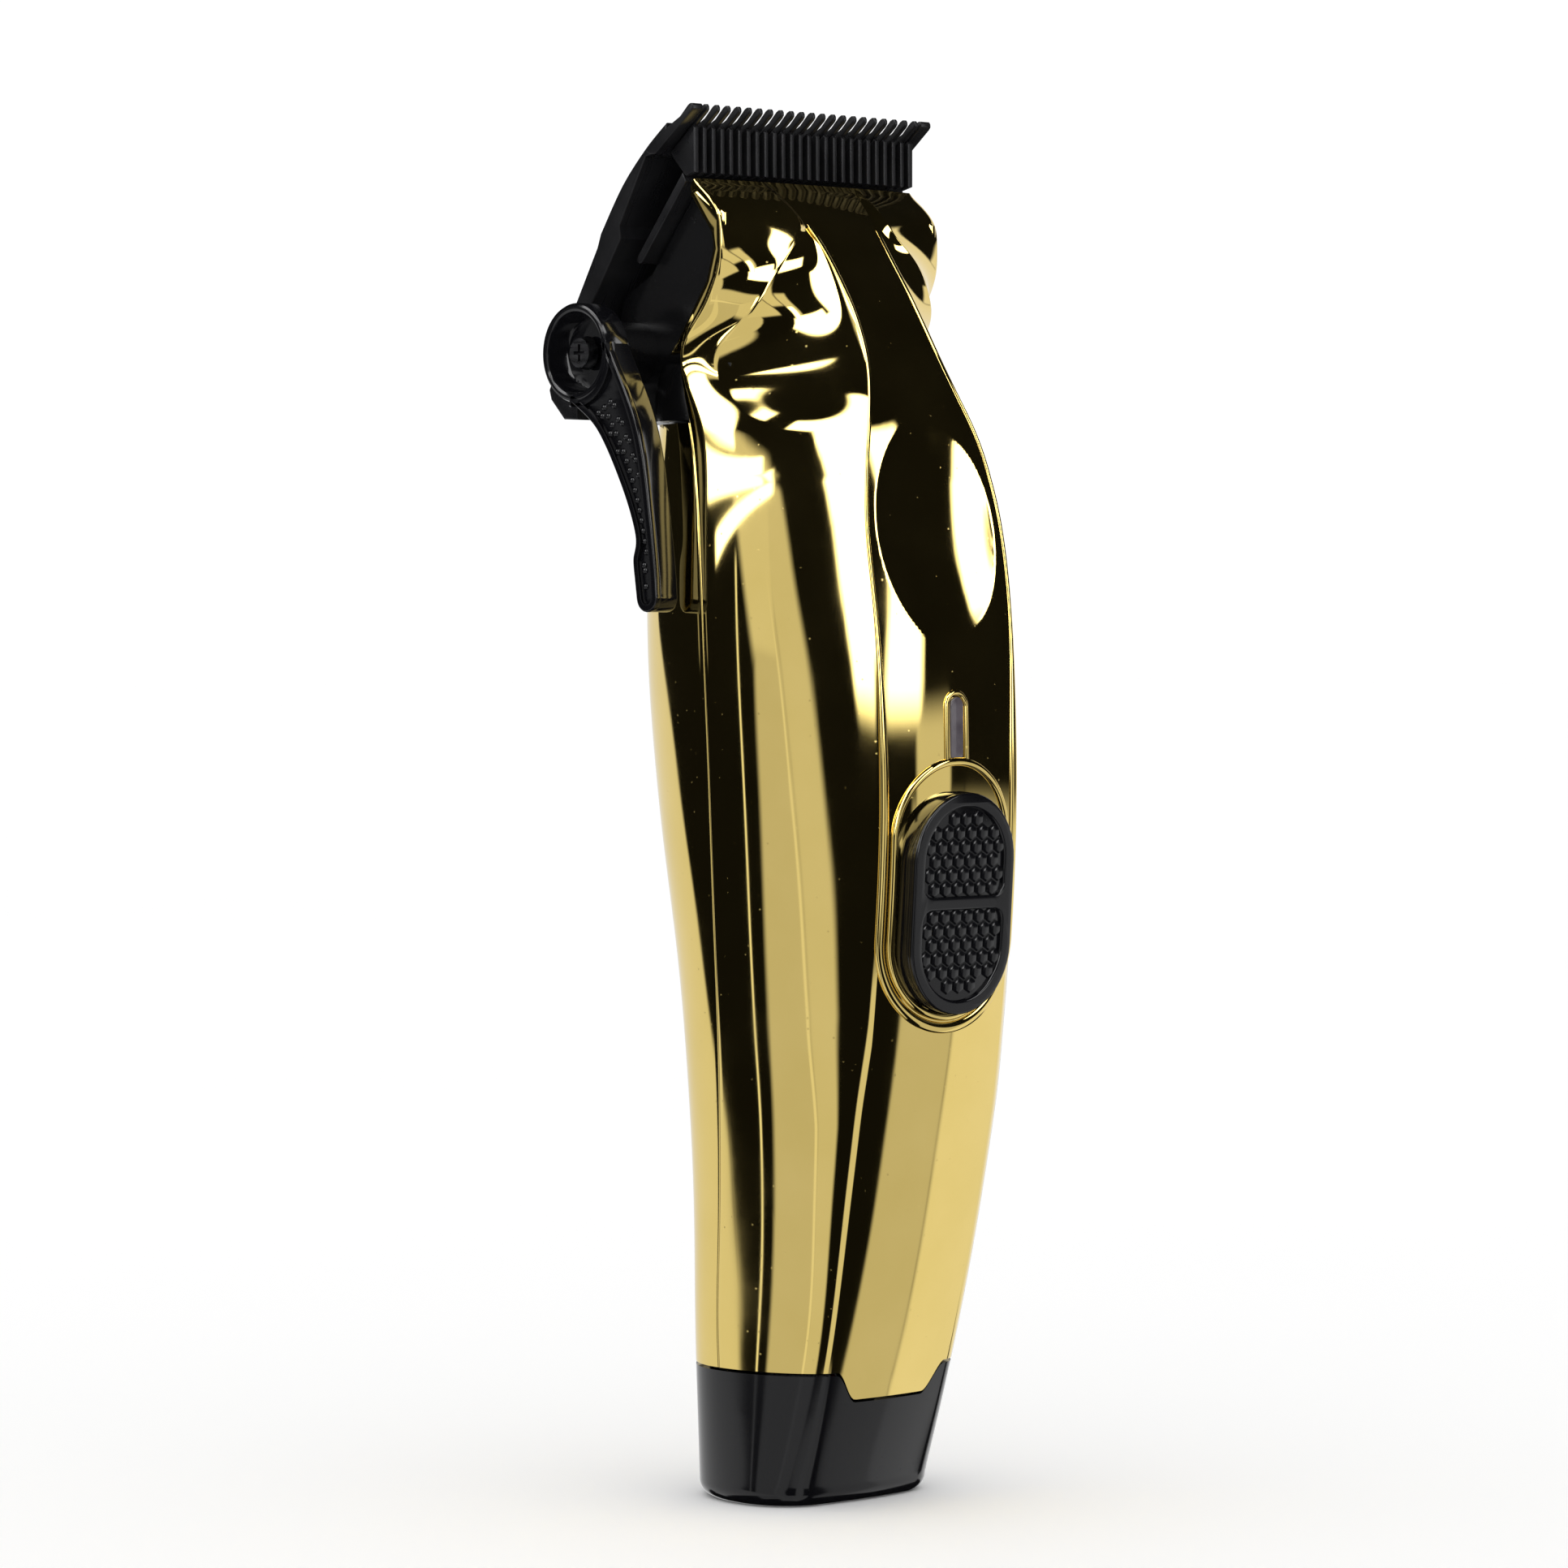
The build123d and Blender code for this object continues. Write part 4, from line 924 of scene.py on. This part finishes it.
BLADE_HEEL = [*BLADE_CURVE, *BLADE_OUTER[5:], *BLADE_INNER[:5], (7.1, 174.0), (5.2, 175.5)]


def fixed_blade():
    """The fixed blade: heel plate and one row of 23 teeth, the two end ones wide."""
    heel = plate("heel", [BLADE_HEEL], -21.45, 21.45, 0.22, SIDE)
    teeth = []
    for index in range(-TEETH_ASIDE, TEETH_ASIDE + 1):
        last = abs(index) == TEETH_ASIDE
        half = 1.15 if last else 0.48
        middle = np.sign(index) * (BLADE_HALF - half) if last else index * TOOTH_PITCH
        tooth = plate("tooth", [TOOTH_SIDE], middle - half, middle + half, 0.14, SIDE)
        for vertex in tooth.data.vertices:
            taper = (0.25 if last else 0.55) * smoothstep(*TOOTH_TAPER, vertex.co.z / MM)
            vertex.co.x += (middle * MM - vertex.co.x) * taper
        teeth.append(tooth)
    return join("fixed_blade_skin", [heel, *teeth])


def blade_point(normal, along):
    """(y, z) of a point along the blade's slide and square to it, from the lever's pivot."""
    return (
        LEVER_Y + normal * cos(BLADE_TILT) - along * sin(BLADE_TILT),
        LEVER_Z + normal * sin(BLADE_TILT) + along * cos(BLADE_TILT),
    )


def cutter_comb():
    """The cutter: a thin plate, a root bar and upright ribs with bevelled edges."""
    lower_end = [blade_point(5.3 + 0.6 * cos(a), 11.5 - 0.6 * sin(a)) for a in np.linspace(0, pi, 9)]
    strip = [blade_point(5.9, 25.0), *lower_end, blade_point(4.7, 24.5)]
    root = [(2.9, 171.35), (3.2, 173.9), (5.0, 174.6), (6.6, 174.1), (4.8, 172.4), (4.2, 171.5), (3.7, 170.9)]
    fin = [(2.0, 171.4), (2.0, 177.1), (2.3, 177.4), (6.5, 174.1), (5.6, 173.0), (3.6, 171.0)]
    pieces = [
        plate("strip", [strip], -CUTTER_HALF, CUTTER_HALF, 0.15, SIDE),
        plate("root", [root], -CUTTER_HALF + 0.2, CUTTER_HALF - 0.2, 0.15, SIDE),
    ]
    for index in range(FINS):
        middle = (index - (FINS - 1) / 2) * FIN_PITCH
        half = 0.42 if index in (0, FINS - 1) else 0.33
        middle = np.clip(middle, -CUTTER_HALF + half, CUTTER_HALF - half)
        pieces.append(plate("fin", [fin], middle - half, middle + half, 0.1, SIDE))
    return join("cutter_skin", pieces)


blade = fixed_blade()
shade(blade, flat_angle=32)
place(blade, "blade_set", "black_blade", "fixed_blade")
comb = cutter_comb()
shade(comb, flat_angle=32)
place(comb, "cutter_set", "black_blade", "cutter")


# ---------------------------------------------------------------- stage, light and camera
FLOOR_HALF = 6
AMBIENT = 0.007
BACKDROP = 1.06


def floor():
    """A wide pale floor, left out of reflections so that the light alone shows in the plating."""
    mesh = bpy.data.meshes.new("floor")
    corners = [(x * FLOOR_HALF, y * FLOOR_HALF, 0) for x, y in ((-1, -1), (1, -1), (1, 1), (-1, 1))]
    mesh.from_pydata(corners, [], [(0, 1, 2, 3)])
    obj = add_object("floor", mesh)
    s = Shader("floor", (0.95, 0.95, 0.95), 0.0, 0.7, Specular_IOR_Level=0.0)
    s.colour(s.noise(3, 4), (0.94, 0.94, 0.94), (0.96, 0.96, 0.96))
    mesh.materials.append(s.material)
    obj.visible_glossy = False


floor()


def studio_world():
    """White surroundings for the eye, and soft boxes on dark for what reflects."""
    world = bpy.data.worlds.new("studio")
    bpy.context.scene.world = world
    world.use_nodes = True
    tree = world.node_tree
    tree.nodes.clear()
    new, link = tree.nodes.new, tree.links.new

    def maths(operation, *values):
        return math_node(tree, operation, *values)

    def ramp(value, low, high):
        node = new("ShaderNodeMapRange")
        node.interpolation_type = "SMOOTHSTEP"
        node.inputs["From Min"].default_value = low
        node.inputs["From Max"].default_value = high
        link(value, node.inputs["Value"])
        return node.outputs["Result"]

    split = new("ShaderNodeSeparateXYZ")
    link(new("ShaderNodeTexCoord").outputs["Generated"], split.inputs["Vector"])
    x, y, z = split.outputs
    to_degrees = 180 / pi
    turn = maths("ARCTAN2", maths("MULTIPLY", x, -1.0), maths("MULTIPLY", y, -1.0))
    azimuth = maths("MULTIPLY", turn, to_degrees)
    elevation = maths("MULTIPLY", maths("ARCSINE", z), to_degrees)

    def card(level, az_low, az_high, el_low, el_high, lean=(0, 0), tilt=0.0, soft=(1.5, 1.5)):
        """A soft box between two azimuths (0 front, 90 left) and two elevations.

        lean moves its sides per degree of elevation, tilt its ends per degree of azimuth from 120."""
        low = maths("SUBTRACT", azimuth, maths("MULTIPLY", elevation, lean[0]))
        high = maths("SUBTRACT", azimuth, maths("MULTIPLY", elevation, lean[1]))
        height = maths("ADD", elevation, maths("MULTIPLY", maths("SUBTRACT", azimuth, 120.0), tilt))
        left = ramp(low, az_low - soft[0], az_low + soft[0])
        right = ramp(high, az_high - soft[0], az_high + soft[0])
        floor_edge = ramp(height, el_low - soft[1], el_low + soft[1])
        top_edge = ramp(height, el_high - soft[1], el_high + soft[1])
        across = maths("MULTIPLY", left, maths("SUBTRACT", 1.0, right))
        along = maths("MULTIPLY", floor_edge, maths("SUBTRACT", 1.0, top_edge))
        return maths("MULTIPLY", maths("MULTIPLY", across, along), level)

    # Level, azimuths, elevations. Those at 5.5 are lamps, and the dimmer ones pale walls.
    cards = [
        card(5.5, -29.5, -16.5, 2, 30, lean=(-0.38, -0.4)),
        card(5.5, 16, 36, 3.5, 9.5, lean=(0, 0.3)),
        card(5.5, 28, 36, 9, 36, lean=(0, 0.3)),
        card(0.8, 6, 24, -75, -12),
        card(0.35, 135.5, 140, -1, 9, soft=(0.5, 1)),
        card(5.5, -18, 44, 40, 58),
        card(0.74, -10, 62, -75, -35),
        card(5.5, 30, 40, 1, 62, lean=(0.2, 0.45)),
        card(0.75, -42, -28, -4, 2, soft=(0.8, 1.0)),
        card(0.85, 2, 30, 3, 13),
        card(0.95, -130, -92, -20, 30),
        card(0.95, -92, -75, -20, 6),
        card(0.95, -76, -48, -45, -3, lean=(0, 0.1)),
        card(0.66, -48, -26, -45, -3, lean=(0.1, 0.15), soft=(0.8, 1.5)),
        card(0.85, -14, 14, -11, 2),
        card(0.74, 60, 76, -60, 30, lean=(0.55, 0.5), soft=(2, 1.5)),
        card(0.66, 74, 93, -60, 30, lean=(0.5, -0.2), soft=(2, 1.5)),
        card(0.80, 76, 93, 0, 34, lean=(0.2, 0.7), soft=(3, 3)),
        card(0.95, 76, 78, -60, 30, lean=(0.55, 0.5), soft=(1, 1.5)),
        card(5.5, 105, 136, 23.5, 50, tilt=0.33),
        card(5.5, 86, 130, 17.2, 22, tilt=0.33, soft=(2, 0.6)),
        card(5.5, 80, 123, 9.8, 13.4, tilt=0.44, soft=(2, 0.6)),
        card(5.5, 50, 75, 50, 62),
        card(5.5, 92, 100, 57, 66),
        card(1.2, 105, 106.4, -30, 12, soft=(0.5, 2)),
        card(0.85, 180, 182, -40, 30, lean=(3.5, 0)),
        card(0.85, -182, -135, -24, 8),
    ]
    total = maths("ADD", cards[0], AMBIENT)
    for item in cards[1:]:
        total = maths("MAXIMUM", total, item)
    tint = new("ShaderNodeCombineColor")
    for channel in range(3):
        link(total, tint.inputs[channel])

    path = new("ShaderNodeLightPath")
    reflected, plain = new("ShaderNodeBackground"), new("ShaderNodeBackground")
    mix = new("ShaderNodeMixShader")
    link(tint.outputs["Color"], reflected.inputs["Color"])
    plain.inputs["Color"].default_value = (1, 1, 1, 1)
    plain.inputs["Strength"].default_value = BACKDROP
    link(path.outputs["Is Glossy Ray"], mix.inputs["Fac"])
    link(plain.outputs[0], mix.inputs[1])
    link(reflected.outputs[0], mix.inputs[2])
    out = new("ShaderNodeOutputWorld")
    link(mix.outputs[0], out.inputs["Surface"])


studio_world()


def camera():
    """The camera, at the photograph's angle and distance."""
    data = bpy.data.cameras.new("camera")
    data.sensor_width = 36
    data.lens = 128.8
    data.clip_end = 50
    obj = add_object("camera", data)
    azimuth, elevation, distance = radians(-43.0), radians(1.824), 0.7316
    back = Vector((sin(azimuth) * cos(elevation), -cos(azimuth) * cos(elevation), sin(elevation)))
    right = Vector((cos(azimuth), sin(azimuth), 0))
    target = Vector((0, 0, 0.0927)) - right * 0.00413
    obj.location = target + back * distance
    up = back.cross(right)
    obj.matrix_world = Matrix.Translation(obj.location) @ Matrix((right, up, back)).transposed().to_4x4()
    bpy.context.scene.camera = obj


camera()
bpy.context.scene.view_settings.view_transform = "Standard"
